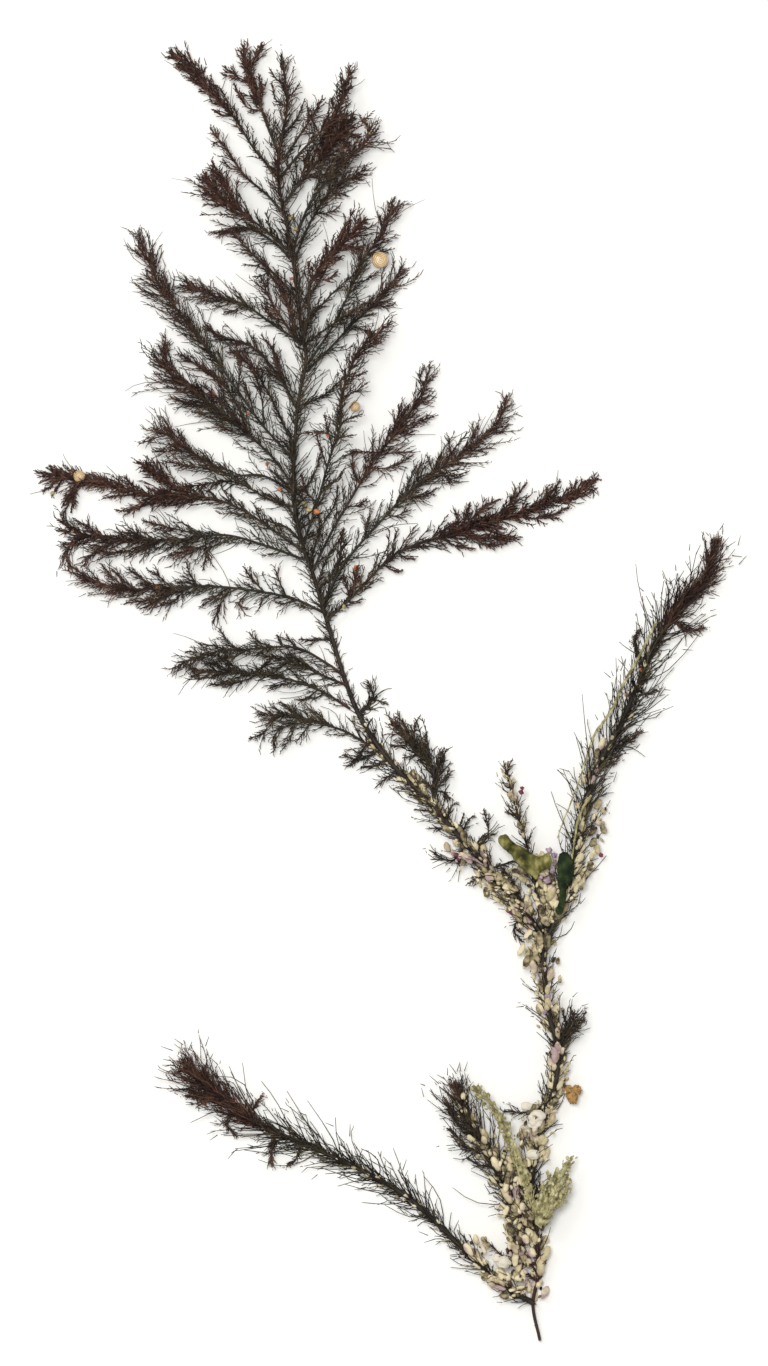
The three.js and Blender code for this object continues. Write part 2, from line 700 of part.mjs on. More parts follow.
function addStems(node, mainCurve, radii, reach, branches, sides) {
  const main = makeStem(node, mainCurve, radii, reach, sides);
  const all = [main];
  for (const branch of branches) {
    const curve = branchCurve(main, branch.route, branch.rise);
    all.push(makeStem(node, curve, [BRANCH_RADIUS, TIP_RADIUS], branch.reach, 3));
  }
  for (const stem of all) {
    registerCurve(node, stem.curve, stem.radiusAt, Math.max(2, Math.ceil(stem.length / ROD_STEP)));
  }
  stems.set(node, all);
  stemOf.set(node, main);
}

// The outer part of a spine stays off the rest of its own stem
function clearOfStem(stem, outer) {
  for (let i = 0; i < STEM_TESTS; i += 1) {
    const start = i / STEM_TESTS;
    const end = (i + 1) / STEM_TESTS;
    const line = new THREE.Line3(stem.curve.getPointAt(start), stem.curve.getPointAt(end));
    const room = stem.radiusAt(start) + SPINE_APART;
    if (line.distanceSqToLine3(outer, nearHere, nearThere) < room ** 2) {
      return false;
    }
  }
  return true;
}

// Where a spine's tip stands, or nothing where there is no room for it
function spineTip(stem, share, angle, own) {
  const { point, tangent, side, lift } = frameAt(stem.curve, share);
  const radius = stem.radiusAt(share);
  const reach = levelAt(stem.reach, share) * PIXEL * between(0.9, 1.25);
  const lean = between(0.7, 0.95);
  for (const [scale, rise] of [[1, 0], [0.8, 0.3], [0.8, -0.3], [0.55, 0]]) {
    const outward = side.clone().multiplyScalar(Math.cos(angle));
    outward.addScaledVector(lift, Math.sin(angle) * 0.8 + rise).normalize();
    const aim = tangent.clone().multiplyScalar(Math.cos(lean));
    aim.addScaledVector(outward, Math.sin(lean));
    const tip = point.clone().addScaledVector(aim, (reach * scale) / Math.sin(lean));
    tip.z = THREE.MathUtils.clamp(tip.z, SPINE_FLOOR, SPINE_CEILING);
    const away = tip.clone().sub(point).projectOnPlane(tangent);
    const facing = away.dot(side) * Math.cos(angle) + away.dot(lift) * Math.sin(angle);
    const straight = facing > away.length() * FACING_SHARE && facing > radius * 1.6;
    const free = clearance(stem.node, new THREE.Line3(point, tip), radius * 0.5, 0.05);
    const outer = new THREE.Line3(point.clone().lerp(tip, OUTER_START), tip);
    const apart = own.every((line) => line.distanceSqToLine3(outer, nearHere, nearThere) > SPINE_APART ** 2);
    if (straight && free >= GAP && apart && clearOfStem(stem, outer)) {
      register(stem.node, point, tip, radius * 0.5, 0.05);
      own.push(outer);
      return tip;
    }
  }
  return null;
}

// A stem is a run of rings. Each whorl is a short stretch between two rings,
// and a spine is drawn out of each of its faces. Whorls are turned half a face from each other.
function planStem(stem) {
  const own = [];
  const whorls = Math.max(2, Math.round(stem.length / WHORL_SPACING));
  const half = WHORL_LENGTH / stem.length / 2;
  const rings = [{ share: 0, roll: 0 }];
  for (let i = 0; i < whorls; i += 1) {
    const share = Math.min((i + between(0.5, 0.8)) / whorls, 1 - half * 2);
    const roll = (i % 2) * (Math.PI / stem.sides) + between(-0.2, 0.2);
    const middle = Math.max(share, half + 0.01);
    const tips = [];
    for (let k = 0; k < stem.sides; k += 1) {
      tips.push(spineTip(stem, middle, roll + ((k + 0.5) / stem.sides) * Math.PI * 2, own));
    }
    rings.push({ share: middle - half, roll, tips }, { share: middle + half, roll });
  }
  rings.push({ share: 1, roll: rings.at(-1).roll });
  stem.rings = rings;
}

function stemSolid(stem) {
  const { curve, sides, rings } = stem;
  const positions = rings.flatMap((ring) => ringAt(stem, ring.share, ring.roll));
  const faces = [];
  for (let r = 0; r < rings.length - 1; r += 1) {
    const turned = rings[r + 1].roll > rings[r].roll;
    for (let i = 0; i < sides; i += 1) {
      const a = r * sides + i;
      const b = r * sides + ((i + 1) % sides);
      const c = a + sides;
      const d = b + sides;
      const tip = rings[r].tips?.[i];
      if (tip) {
        const apex = positions.push(tip) - 1;
        faces.push([a, d, b], [a, c, apex], [c, d, apex], [d, a, apex]);
      } else if (turned) {
        faces.push([a, c, b], [c, d, b]);
      } else {
        faces.push([a, d, b], [a, c, d]);
      }
    }
  }
  const end = frameAt(curve, 1);
  positions.push(curve.getPointAt(0), end.point.addScaledVector(end.tangent, stem.radiusAt(1) * 4));
  const lastRing = (rings.length - 1) * sides;
  for (let i = 0; i < sides; i += 1) {
    const next = (i + 1) % sides;
    faces.push([i, next, positions.length - 2], [lastRing + next, lastRing + i, positions.length - 1]);
  }
  const geometry = new THREE.BufferGeometry().setFromPoints(positions);
  geometry.setIndex(faces.flat());
  return solidOf(geometry);
}

// Leaves out the spine that passes nearest to a point
function dropSpine(list, place) {
  const near = new THREE.Vector3();
  let best = { distance: Infinity };
  for (const stem of list) {
    for (const { share, tips = [] } of stem.rings) {
      tips.forEach((tip, i) => {
        if (tip) {
          new THREE.Line3(stem.curve.getPointAt(share), tip).closestPointToPoint(place, true, near);
          const distance = near.distanceTo(place);
          best = distance < best.distance ? { distance, tips, i } : best;
        }
      });
    }
  }
  best.tips[best.i] = null;
}

// Everything is cut off flat where it is pressed on the surface
const floorBox = new THREE.BoxGeometry(600, 600, 20).translate(0, 0, -10);
const floorSolid = solidOf(floorBox);

function finishMesh(node, geometry, material) {
  const mesh = new THREE.Mesh(geometry, material);
  mesh.name = node;
  group.add(mesh);
}

// All stems of a node as one mesh. A spine that runs into another part of the node is left out.
function stemsGeometry(list) {
  for (let drops = 0; ; drops += 1) {
    const body = joined(list.map(stemSolid));
    const geometry = geometryOf(joined([body.subtract(floorSolid)]));
    const crossing = crossingOf(geometry);
    if (!crossing || drops === SPINE_DROPS) {
      return geometry;
    }
    dropSpine(list, crossing);
  }
}

const TINTS = { tip: '#44261f', middle: '#2a2b26', axis: '#241c1b' };
function algaMaterial(tint) {
  return new THREE.MeshStandardMaterial({ color: TINTS[tint], roughness: 0.72, metalness: 0 });
}

function crustMaterial() {
  return new THREE.MeshStandardMaterial({ color: '#c4b88e', roughness: 0.9, metalness: 0 });
}

// Share of the way along a stem that lies nearest to a drawn pixel
function shareNear(stem, pixel) {
  const target = spot(pixel, 0);
  const samples = stem.curve.getSpacedPoints(300);
  const flat = (point) => Math.hypot(point.x - target.x, point.y - target.y);
  let best = 0;
  samples.forEach((point, i) => {
    if (flat(point) < flat(samples[best])) {
      best = i;
    }
  });
  return best / 300;
}

function stretchOf(stem, from, to) {
  const points = [];
  for (let i = 0; i <= 6; i += 1) {
    points.push(stem.curve.getPointAt(THREE.MathUtils.lerp(from, to, i / 6)));
  }
  return new THREE.CatmullRomCurve3(points, false, 'centripetal');
}

function makeCrust(crust) {
  const host = stemOf.get(crust.host);
  const curve = stretchOf(host, shareNear(host, crust.from), shareNear(host, crust.to));
  const length = curve.getLength();
  const steps = Math.max(3, Math.round(length / CRUST_STEP));
  const lumpy = (share, angle) => {
    const wave = Math.sin(angle * 3 + share * length * 0.9) * Math.sin(share * length * 1.85);
    const lump = 1 - CRUST_RELIEF * (0.5 + 0.5 * wave);
    const rounded = CRUST_END + (1 - CRUST_END) * Math.min(1, Math.sin(share * Math.PI) * 3);
    return crust.girth * lump * rounded;
  };
  registerCurve(crust.node, curve, () => crust.girth, steps);
  return solidOf(bentTube(curve, lumpy, CRUST_SIDES, steps, 0.92));
}

// Crusts and loose pieces are cut back from every stem, with a gap
function cutClear(node, body) {
  const bounds = new THREE.Box3();
  placed.filter((rod) => rod.node === node).forEach((rod) => bounds.union(rod.box));
  bounds.expandByScalar(2);
  const cutters = [];
  for (const [other, list] of stems) {
    for (const stem of list) {
      const near = placed.some((rod) => rod.node === other && rod.box.intersectsBox(bounds));
      if (near && other !== node) {
        const wide = (share) => stem.radiusAt(share) + GAP;
        const steps = Math.max(2, Math.round(stem.length / ROD_STEP));
        cutters.push(solidOf(bentTube(stem.curve, wide, 5, steps)));
      }
    }
  }
  return joined([body.subtract(wasm.Manifold.union([...cutters, floorSolid]))]);
}

// Blades, strands, a sponge and small shells that the alga carries. Outlines and routes are in pixels.
const BLADES = [
  {
    node: 'olive_blade',
    outline: [
      [500, 846], [513, 845], [524, 848], [531, 854], [541, 856], [548, 852], [552, 860], [548, 868],
      [540, 872], [536, 879], [529, 873], [520, 865], [511, 855],
    ],
    height: 4.4,
    wave: 0.22,
    color: '#6a7430',
  },
  {
    node: 'dark_green_blade',
    outline: [
      [559, 853], [566, 852], [573, 862], [572, 878], [567, 888], [565, 902], [561, 914], [555, 912],
      [559, 898], [558, 884], [557, 866],
    ],
    height: 5.2,
    wave: 0.12,
    color: '#17301c',
  },
];
const STRANDS = [
  {
    node: 'yellow_green_mass',
    color: '#b4b368',
    radius: 0.62,
    routes: [
      { route: [[541, 1214], [534, 1204], [527, 1192], [517, 1163]], levels: [5.9, 5.6, 5.2] },
      { route: [[542, 1212], [553, 1188], [562, 1172], [572, 1156]], levels: [5.8, 4.8, 3.6] },
      { route: [[540, 1212], [552, 1206], [564, 1196], [568, 1178]], levels: [5.75, 4.9, 3.8] },
      { route: [[541, 1211], [544, 1196], [552, 1172]], levels: [5.95, 5.2, 4.8] },
    ],
    lobe: { pixel: [557, 1188], height: 4.8, radii: [1.7, 3.1, 0.7] },
  },
  {
    node: 'pale_thread',
    color: '#b9c088',
    radius: 0.34,
    routes: [
      {
        route: [
          [656, 622], [640, 655], [624, 684], [612, 710], [594, 736], [586, 760], [577, 786], [566, 814],
          [557, 838],
        ],
        levels: [3.2, 3.4, 3.6, 4, 4.6, 4.8],
      },
    ],
  },
];
const SHELLS = [
  { node: 'amber_shell_right', pixel: [380, 260], height: 3.9, radius: 1.8, rise: 1.1 },
  { node: 'amber_shell_left', pixel: [79, 476], height: 1.7, radius: 1.3, rise: 0.9 },
  { node: 'amber_shell_middle', pixel: [355, 407], height: 5, radius: 1.15, rise: 0.9 },
];
const SPONGE = {
  node: 'sponge_lump',
  lumps: [[573, 1094], [577, 1088], [574, 1099]],
  radius: 1.25,
  height: 2.2,
};

// A thin waved blade. Both faces keep the outline's own triangles.
function makeBlade(blade) {
  const corners = blade.outline.map((pixel) => spot(pixel, 0));
  const shape = new THREE.Shape(corners.map((corner) => new THREE.Vector2(corner.x, corner.y)));
  const geometry = new THREE.ExtrudeGeometry(shape, { depth: BLADE_THICKNESS, bevelEnabled: false });
  const position = geometry.attributes.position;
  const waved = (x, y) => blade.wave * Math.sin(x * 0.9 + y * 0.7);
  for (let i = 0; i < position.count; i += 1) {
    position.setZ(i, position.getZ(i) + blade.height + waved(position.getX(i), position.getY(i)));
  }
  const middle = blade.height + BLADE_THICKNESS / 2;
  for (const first of corners) {
    for (const second of corners) {
      const start = first.clone().setZ(middle);
      register(blade.node, start, second.clone().setZ(middle), 0.6, 0.6);
    }
  }
  return solidOf(geometry);
}

function makeStrand(strand) {
  const solids = [];
  for (const { route, levels } of strand.routes) {
    const curve = routeCurve(route, levels);
    const steps = Math.max(4, Math.round(curve.getLength() / ROD_STEP));
    const taper = (share) => strand.radius * (1 - 0.45 * share);
    registerCurve(strand.node, curve, taper, steps);
    solids.push(solidOf(bentTube(curve, taper, 4, steps)));
  }
  if (strand.lobe) {
    const { pixel, height, radii } = strand.lobe;
    const centre = spot(pixel, height);
    const lobe = new THREE.IcosahedronGeometry(1, 1).scale(...radii).rotateZ(-0.5);
    lobe.translate(centre.x, centre.y, centre.z);
    register(strand.node, centre, centre.clone().addScaledVector(UP, 0.01), radii[1], radii[1]);
    solids.push(solidOf(lobe));
  }
  return joined(solids);
}

// A low domed shell
function makeShell(shell) {
  const { radius, rise } = shell;
  const profile = [[0, 0], [radius, 0], [radius * 0.9, rise * 0.4], [radius * 0.5, rise * 0.85], [0, rise]];
  const points = profile.map(([across, up]) => new THREE.Vector2(across, up));
  const geometry = new THREE.LatheGeometry(points, 12).rotateX(Math.PI / 2);
  const centre = spot(shell.pixel, shell.height);
  geometry.translate(centre.x, centre.y, centre.z);
  register(shell.node, centre, centre.clone().addScaledVector(UP, rise), radius, radius * 0.6);
  return solidOf(geometry);
}

function makeSponge() {
  const lumps = SPONGE.lumps.map((pixel, i) => {
    const centre = spot(pixel, SPONGE.height);
    const lump = new THREE.IcosahedronGeometry(SPONGE.radius, 1).rotateZ(i).scale(1, 1, 0.9);
    lump.translate(centre.x, centre.y, centre.z);
    register(SPONGE.node, centre, centre.clone().addScaledVector(UP, 0.01), SPONGE.radius, SPONGE.radius);
    return solidOf(lump);
  });
  return joined(lumps);
}

// Stems first, so that everything else can keep clear of them
const axisCurve = routeCurve(AXIS_ROUTE, AXIS_LEVELS);
addStems('main_axis', axisCurve, AXIS_RADII, AXIS_REACH, AXIS_BRANCHES, 4);
for (const frond of FRONDS) {
  const radius = frond.radius ?? FROND_RADIUS;
  const curve = clearStart(frond.node, routeCurve(frond.route, frond.levels), radius);
  addStems(frond.node, curve, [radius, radius * 0.85, TIP_RADIUS], frond.reach, frond.branches, 3);
}

const crustBodies = new Map(CRUSTS.map((crust) => [crust.node, makeCrust(crust)]));

for (const blade of BLADES) {
  const material = new THREE.MeshStandardMaterial({ color: blade.color, roughness: 0.6, metalness: 0 });
  finishMesh(blade.node, geometryOf(makeBlade(blade)), material);
}
for (const strand of STRANDS) {
  const material = new THREE.MeshStandardMaterial({ color: strand.color, roughness: 0.8, metalness: 0 });
  finishMesh(strand.node, geometryOf(makeStrand(strand)), material);
}
for (const shell of SHELLS) {
  const material = new THREE.MeshStandardMaterial({ color: '#c0a064', roughness: 0.35, metalness: 0 });
  finishMesh(shell.node, geometryOf(makeShell(shell)), material);
}
const spongeMaterial = new THREE.MeshStandardMaterial({ color: '#a3763c', roughness: 0.95, metalness: 0 });
finishMesh(SPONGE.node, geometryOf(makeSponge()), spongeMaterial);

for (const [node, list] of stems) {
  list.forEach(planStem);
  const tint = node === 'main_axis' ? 'axis' : FRONDS.find((frond) => frond.node === node).tint;
  finishMesh(node, stemsGeometry(list), algaMaterial(tint));
}

for (const crust of CRUSTS) {
  finishMesh(crust.node, geometryOf(cutClear(crust.node, crustBodies.get(crust.node))), crustMaterial());
}

// The origin is under the middle of the whole thing, on the surface
const bounds = new THREE.Box3().setFromObject(group);
const middle = bounds.getCenter(new THREE.Vector3());
group.position.set(-middle.x, -middle.y, -bounds.min.z);

export default group;
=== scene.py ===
"""A dried branching seaweed, pressed flat and lying face up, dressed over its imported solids.

The pieces are drawn as routes in picture rows and columns, and every length is in millimetres until a mesh
is made. Each frond is a stem with side branches, and Geometry Nodes grow the branchlets, spines and hairs.
"""

import logging
import math
import random
from dataclasses import dataclass, field, fields
from enum import Enum

import bmesh
import bpy
import numpy as np
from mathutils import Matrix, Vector, noise


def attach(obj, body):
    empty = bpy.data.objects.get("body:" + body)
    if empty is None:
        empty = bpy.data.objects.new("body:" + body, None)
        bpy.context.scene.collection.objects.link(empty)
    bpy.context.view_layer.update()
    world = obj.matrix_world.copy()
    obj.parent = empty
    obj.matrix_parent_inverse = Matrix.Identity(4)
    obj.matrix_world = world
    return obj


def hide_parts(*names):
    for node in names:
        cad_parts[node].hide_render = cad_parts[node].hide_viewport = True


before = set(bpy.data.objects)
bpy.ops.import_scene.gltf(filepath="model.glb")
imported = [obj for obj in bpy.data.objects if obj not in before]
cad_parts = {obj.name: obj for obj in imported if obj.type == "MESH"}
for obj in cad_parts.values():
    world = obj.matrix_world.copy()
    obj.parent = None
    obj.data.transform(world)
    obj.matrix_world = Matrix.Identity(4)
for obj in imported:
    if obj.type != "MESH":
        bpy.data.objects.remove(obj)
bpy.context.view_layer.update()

LOG = logging.getLogger("seaweed")

MM = 0.001
PIXEL = 280.0 / (1341.0 - 42.0)
CENTRE_ROW = 691.5
CENTRE_COLUMN = 388.0
ORIGIN_SHIFT = (0.4799, -0.1101)
SAMPLE_STEP = 0.8
LOWEST = 0.03
HIGHEST = 8.0
WORKING_ATTRIBUTES = ("thick", "reach", "bend", "swirl")
LENGTH_NAMES = ("Spacing", "Thickness", "Reach")
FIRST_SEED = 100
SEED_STEP = 7

# Offshoots: how much their lean, size and place vary, how they sway and narrow, and what grows on them.
LEAN_RANGE = (0.7, 1.25)
SIZE_RANGE = (0.45, 1.1)
DRIFT_RANGE = (-0.5, 0.5)
SWAY = 0.7
NARROWING = 0.5
NEXT_REACH_SHARE = 0.45

# Sprays: sides of the tubes, points of a branchlet, shapes of spines and hairs, and steps between seeds.
STEM_SIDES = 7
TWIG_SIDES = 3
STEM_SHADE = 0.3
BRANCHLET_POINTS = 4
SPINE_SHAPE = {"Bend": 0.3, "Curl": 0.15, "Flatness": 0.7, "Points": 2}
HAIR_SHAPE = {"Bend": 0.1, "Flatness": 0.5, "Points": 5}
SPINE_SEED_STEP = 20.0
HAIR_SEED_STEP = 40.0
TUFT_SEED_STEP = 60.0

# Crusts: where knobs sit round a stem, ranges of their sizes, their grain in metres, and the large pebbles.
KNOB_RING = (1.0, 1.0, 0.8)
KNOB_OUTWARD = 0.4
KNOB_SLIDE = 0.0006
KNOB_WIDTHS = (0.55, 1.25)
KNOB_LENGTHS = (1.2, 2.3)
KNOB_HEIGHTS = (0.6, 0.95)
SMALL_KNOB_SEED_STEP = 30.0
KNOB_GRAIN = {"Scale": 1500.0, "Detail": 3.0}
KNOB_GRAIN_DEPTH = 0.0008
PEBBLE_LIFT = 1.6
PEBBLE_BUMP = 0.35
PEBBLE_GRAIN = 1.4
PEBBLE_DEPTH = 0.85
PEBBLE_HEIGHT = 0.7
PEBBLE_SHADE = 2.0
HIGHEST_KNOB_SHADE = 1.5

# Threads: their drift, their sides, which share of a path a side thread covers, and how thin it is.
THREAD_DRIFT = {"Scale": 420.0, "Detail": 2.0}
THREAD_SIDES = 5
THREAD_START = (0, 0.3)
THREAD_END = (0.6, 1.0)
THREAD_THINNESS = (0.4, 0.9)
THREAD_SWING = 5

Pixel = tuple[float, float]


class Tone(Enum):
    """Which of the alga's colours a stretch has."""

    TIP = "red-brown nearly all along"
    END = "red-brown only near its end"
    PLAIN = "olive-black between red-brown ends"
    MIDDLE = "olive-black at first, then red-brown"


class Habit(Enum):
    """How a frond is clothed with branchlets."""

    FEATHERY = "branchlets with short spines"
    CLUMPED = "crowded branchlets"
    BRUSH = "long curved spines all round"
    AXIS = "tufts, few spines and many hairs"


@dataclass(frozen=True)
class Growth:
    """Sizes of what grows on a frond, in millimetres, radians and shares, named as the tree's inputs."""

    branchlet_spacing: float = 0.7
    branchlet_lean: float = 0.66
    branchlet_thickness: float = 0.14
    branchlet_curl: float = 0.26
    branchlet_bend: float = 0.34
    branchlet_flatness: float = 0.55
    spread: float = 1.2
    end_share: float = 0.32
    end_run: float = 7.0
    tuft_spacing: float = 0.3
    tuft_start: float = 0.42
    tuft_share: float = 0.66
    tuft_lean: float = 0.62
    spine_spacing: float = 0.64
    spine_reach: float = 0.55
    spine_lean: float = 0.7
    spine_thickness: float = 0.12
    hair_spacing: float = 2.0
    hair_share: float = 1.25
    hair_thickness: float = 0.11
    hair_lean: float = 0.7
    hair_curl: float = 0.42
    hair_end: float = 0.92


GROWTHS: dict[Habit, Growth] = {
    Habit.FEATHERY: Growth(),
    Habit.CLUMPED: Growth(
        branchlet_spacing=0.54, tuft_spacing=0.26, tuft_start=0.45, tuft_share=0.75, spine_spacing=0.5,
        spine_thickness=0.16, spread=0.86, branchlet_thickness=0.17,
    ),
    Habit.BRUSH: Growth(
        branchlet_spacing=0.19, branchlet_lean=0.5, branchlet_thickness=0.15, branchlet_curl=0.32,
        branchlet_bend=0.0, spread=0.84, end_share=0.22, end_run=10.0, branchlet_flatness=0.75,
        tuft_spacing=0.09, tuft_start=0.76, tuft_share=0.7, tuft_lean=0.36, spine_spacing=3.4,
        spine_reach=0.8, hair_spacing=0.9, hair_share=1.4, hair_thickness=0.15, hair_lean=0.6,
        hair_curl=0.6, hair_end=0.8,
    ),
    Habit.AXIS: Growth(
        branchlet_spacing=0.5, branchlet_flatness=1.0, tuft_spacing=0.2, tuft_start=0.9,
        spine_spacing=1.5, hair_spacing=0.42, hair_share=1.0, hair_thickness=0.15, branchlet_curl=0.3,
        spread=1.0,
    ),
}


@dataclass(frozen=True)
class Branch:
    """A side branch: columns and rows of its route in turn, its half widths in pixels and its rise."""

    places: tuple[int, ...]
    reach: list[float] = field(default_factory=lambda: [3, 4.5, 3.5])
    rise: float = 0.3

    @property
    def route(self) -> list[Pixel]:
        """Pairs the columns with the rows."""
        return list(zip(self.places[::2], self.places[1::2]))


@dataclass
class Line:
    """A sampled stem: points in millimetres with its thickness, reach and tone at each."""

    points: np.ndarray
    thick: np.ndarray
    reach: np.ndarray
    tone: np.ndarray


def spot(pixel: Pixel, height: float) -> np.ndarray:
    """Places a drawn pixel at a height.

    Args:
        pixel: column and row in the picture.
        height: height above the surface in millimetres.

    Returns:
        The point in millimetres.
    """
    across = (pixel[0] - CENTRE_COLUMN) * PIXEL + ORIGIN_SHIFT[0]
    along = (CENTRE_ROW - pixel[1]) * PIXEL + ORIGIN_SHIFT[1]
    return np.array([across, along, height])


def level_at(levels: list[float], share: np.ndarray | float) -> np.ndarray:
    """Reads a list of evenly spread values at a share of the way along.

    Args:
        levels: the values, first to last.
        share: one share or several, from 0 to 1.

    Returns:
        The values there.
    """
    return np.interp(share, np.linspace(0, 1, len(levels)), levels)


def smooth_route(points: np.ndarray, step: float = SAMPLE_STEP) -> np.ndarray:
    """Runs a centripetal spline through points.

    Args:
        points: the drawn points in millimetres, one a row.
        step: distance between samples.

    Returns:
        Evenly spaced samples along the spline.
    """
    ends = np.vstack([2 * points[0] - points[1], points, 2 * points[-1] - points[-2]])
    dense: list[np.ndarray] = []
    for i in range(1, len(ends) - 2):
        p0, p1, p2, p3 = ends[i - 1 : i + 3]
        k0 = 0.0
        k1 = k0 + max(float(np.linalg.norm(p1 - p0)) ** 0.5, 1e-4)
        k2 = k1 + max(float(np.linalg.norm(p2 - p1)) ** 0.5, 1e-4)
        k3 = k2 + max(float(np.linalg.norm(p3 - p2)) ** 0.5, 1e-4)
        t = np.linspace(k1, k2, 14, endpoint=False)[:, None]
        a1 = (k1 - t) / (k1 - k0) * p0 + (t - k0) / (k1 - k0) * p1
        a2 = (k2 - t) / (k2 - k1) * p1 + (t - k1) / (k2 - k1) * p2
        a3 = (k3 - t) / (k3 - k2) * p2 + (t - k2) / (k3 - k2) * p3
        b1 = (k2 - t) / (k2 - k0) * a1 + (t - k0) / (k2 - k0) * a2
        b2 = (k3 - t) / (k3 - k1) * a2 + (t - k1) / (k3 - k1) * a3
        dense.append((k2 - t) / (k2 - k1) * b1 + (t - k1) / (k2 - k1) * b2)
    path = np.vstack([*dense, points[-1:]])
    run = np.concatenate([[0], np.cumsum(np.linalg.norm(np.diff(path, axis=0), axis=1))])
    count = max(4, int(run[-1] / step) + 1)
    at = np.linspace(0, run[-1], count)
    return np.stack([np.interp(at, run, path[:, axis]) for axis in range(3)], axis=1)


@dataclass(frozen=True)
class Reddening:
    """Where a stem turns red-brown: at which share, over what run, its least and its most."""

    start: float
    run: float
    least: float
    most: float

    def along(self, share: np.ndarray) -> np.ndarray:
        """Gives the red-brown at shares of the way along."""
        return np.clip((share - self.start) / self.run, self.least, self.most)


REDDENING: dict[Tone, Reddening] = {
    Tone.TIP: Reddening(0.12, 0.4, 0.08, 1.0),
    Tone.END: Reddening(0.68, 0.12, 0.04, 0.9),
    Tone.MIDDLE: Reddening(0.42, 0.4, 0.04, 0.9),
    Tone.PLAIN: Reddening(0.72, 0.3, 0.12, 0.7),
}
RED_ROOT_END = 0.1
RED_ROOT_RUN = 0.04


def tone_along(tone: Tone, share: np.ndarray) -> np.ndarray:
    """Says how red-brown a stem is along it.

    Args:
        tone: the stem's tone.
        share: shares of the way along.

    Returns:
        Values from 0, olive-black, to 1, red-brown.
    """
    red = REDDENING[tone].along(share)
    if tone is not Tone.PLAIN:
        return red
    return np.maximum(np.clip((RED_ROOT_END - share) / RED_ROOT_RUN, 0.0, 1.0), red)


def linear(code: str) -> tuple[float, float, float, float]:
    """Turns a hex colour into a linear one.

    Args:
        code: the colour as a hash and six hex digits.

    Returns:
        Linear red, green, blue and alpha.
    """
    parts = [int(code[i : i + 2], 16) / 255 for i in (1, 3, 5)]
    spread = [c / 12.92 if c <= 0.04045 else ((c + 0.055) / 1.055) ** 2.4 for c in parts]
    return (spread[0], spread[1], spread[2], 1.0)


class Wiring:
    """Places and joins nodes in a geometry tree or in a material's tree."""

    def __init__(self, group: bpy.types.NodeTree) -> None:
        """Keeps the tree that the nodes go into."""
        self.group = group

    def add(self, kind: str, inputs: dict | None = None, **settings: object) -> bpy.types.Node:
        """Places one node.

        Args:
            kind: the node's type name.
            inputs: socket name or index to a value or to another node's output.
            settings: the node's own properties.

        Returns:
            The new node.
        """
        node = self.group.nodes.new(kind)
        for key, value in settings.items():
            setattr(node, key, value)
        for key, value in (inputs or {}).items():
            if isinstance(value, bpy.types.NodeSocket):
                self.group.links.new(value, node.inputs[key])
            else:
                node.inputs[key].default_value = value
        return node

    def math(self, operation: str, first: object, second: object = 0.0) -> bpy.types.NodeSocket:
        """Adds one sum of two values and returns its result."""
        return self.add("ShaderNodeMath", {0: first, 1: second}, operation=operation).outputs[0]

    def vector(self, operation: str, first: object, second: object = None) -> bpy.types.NodeSocket:
        """Adds one vector sum.

        Args:
            operation: name of the operation.
            first: first vector.
            second: second vector, or the factor where the operation is SCALE.

        Returns:
            The resulting vector socket.
        """
        inputs = {0: first}
        if second is not None:
            inputs[3 if operation == "SCALE" else 1] = second
        return self.add("ShaderNodeVectorMath", inputs, operation=operation).outputs[0]

    def blend(self, factor: object, first: object, second: object) -> bpy.types.NodeSocket:
        """Mixes two colours by a factor and returns the result."""
        node = self.add("ShaderNodeMix", {0: factor, 6: first, 7: second}, data_type="RGBA")
        return node.outputs[2]


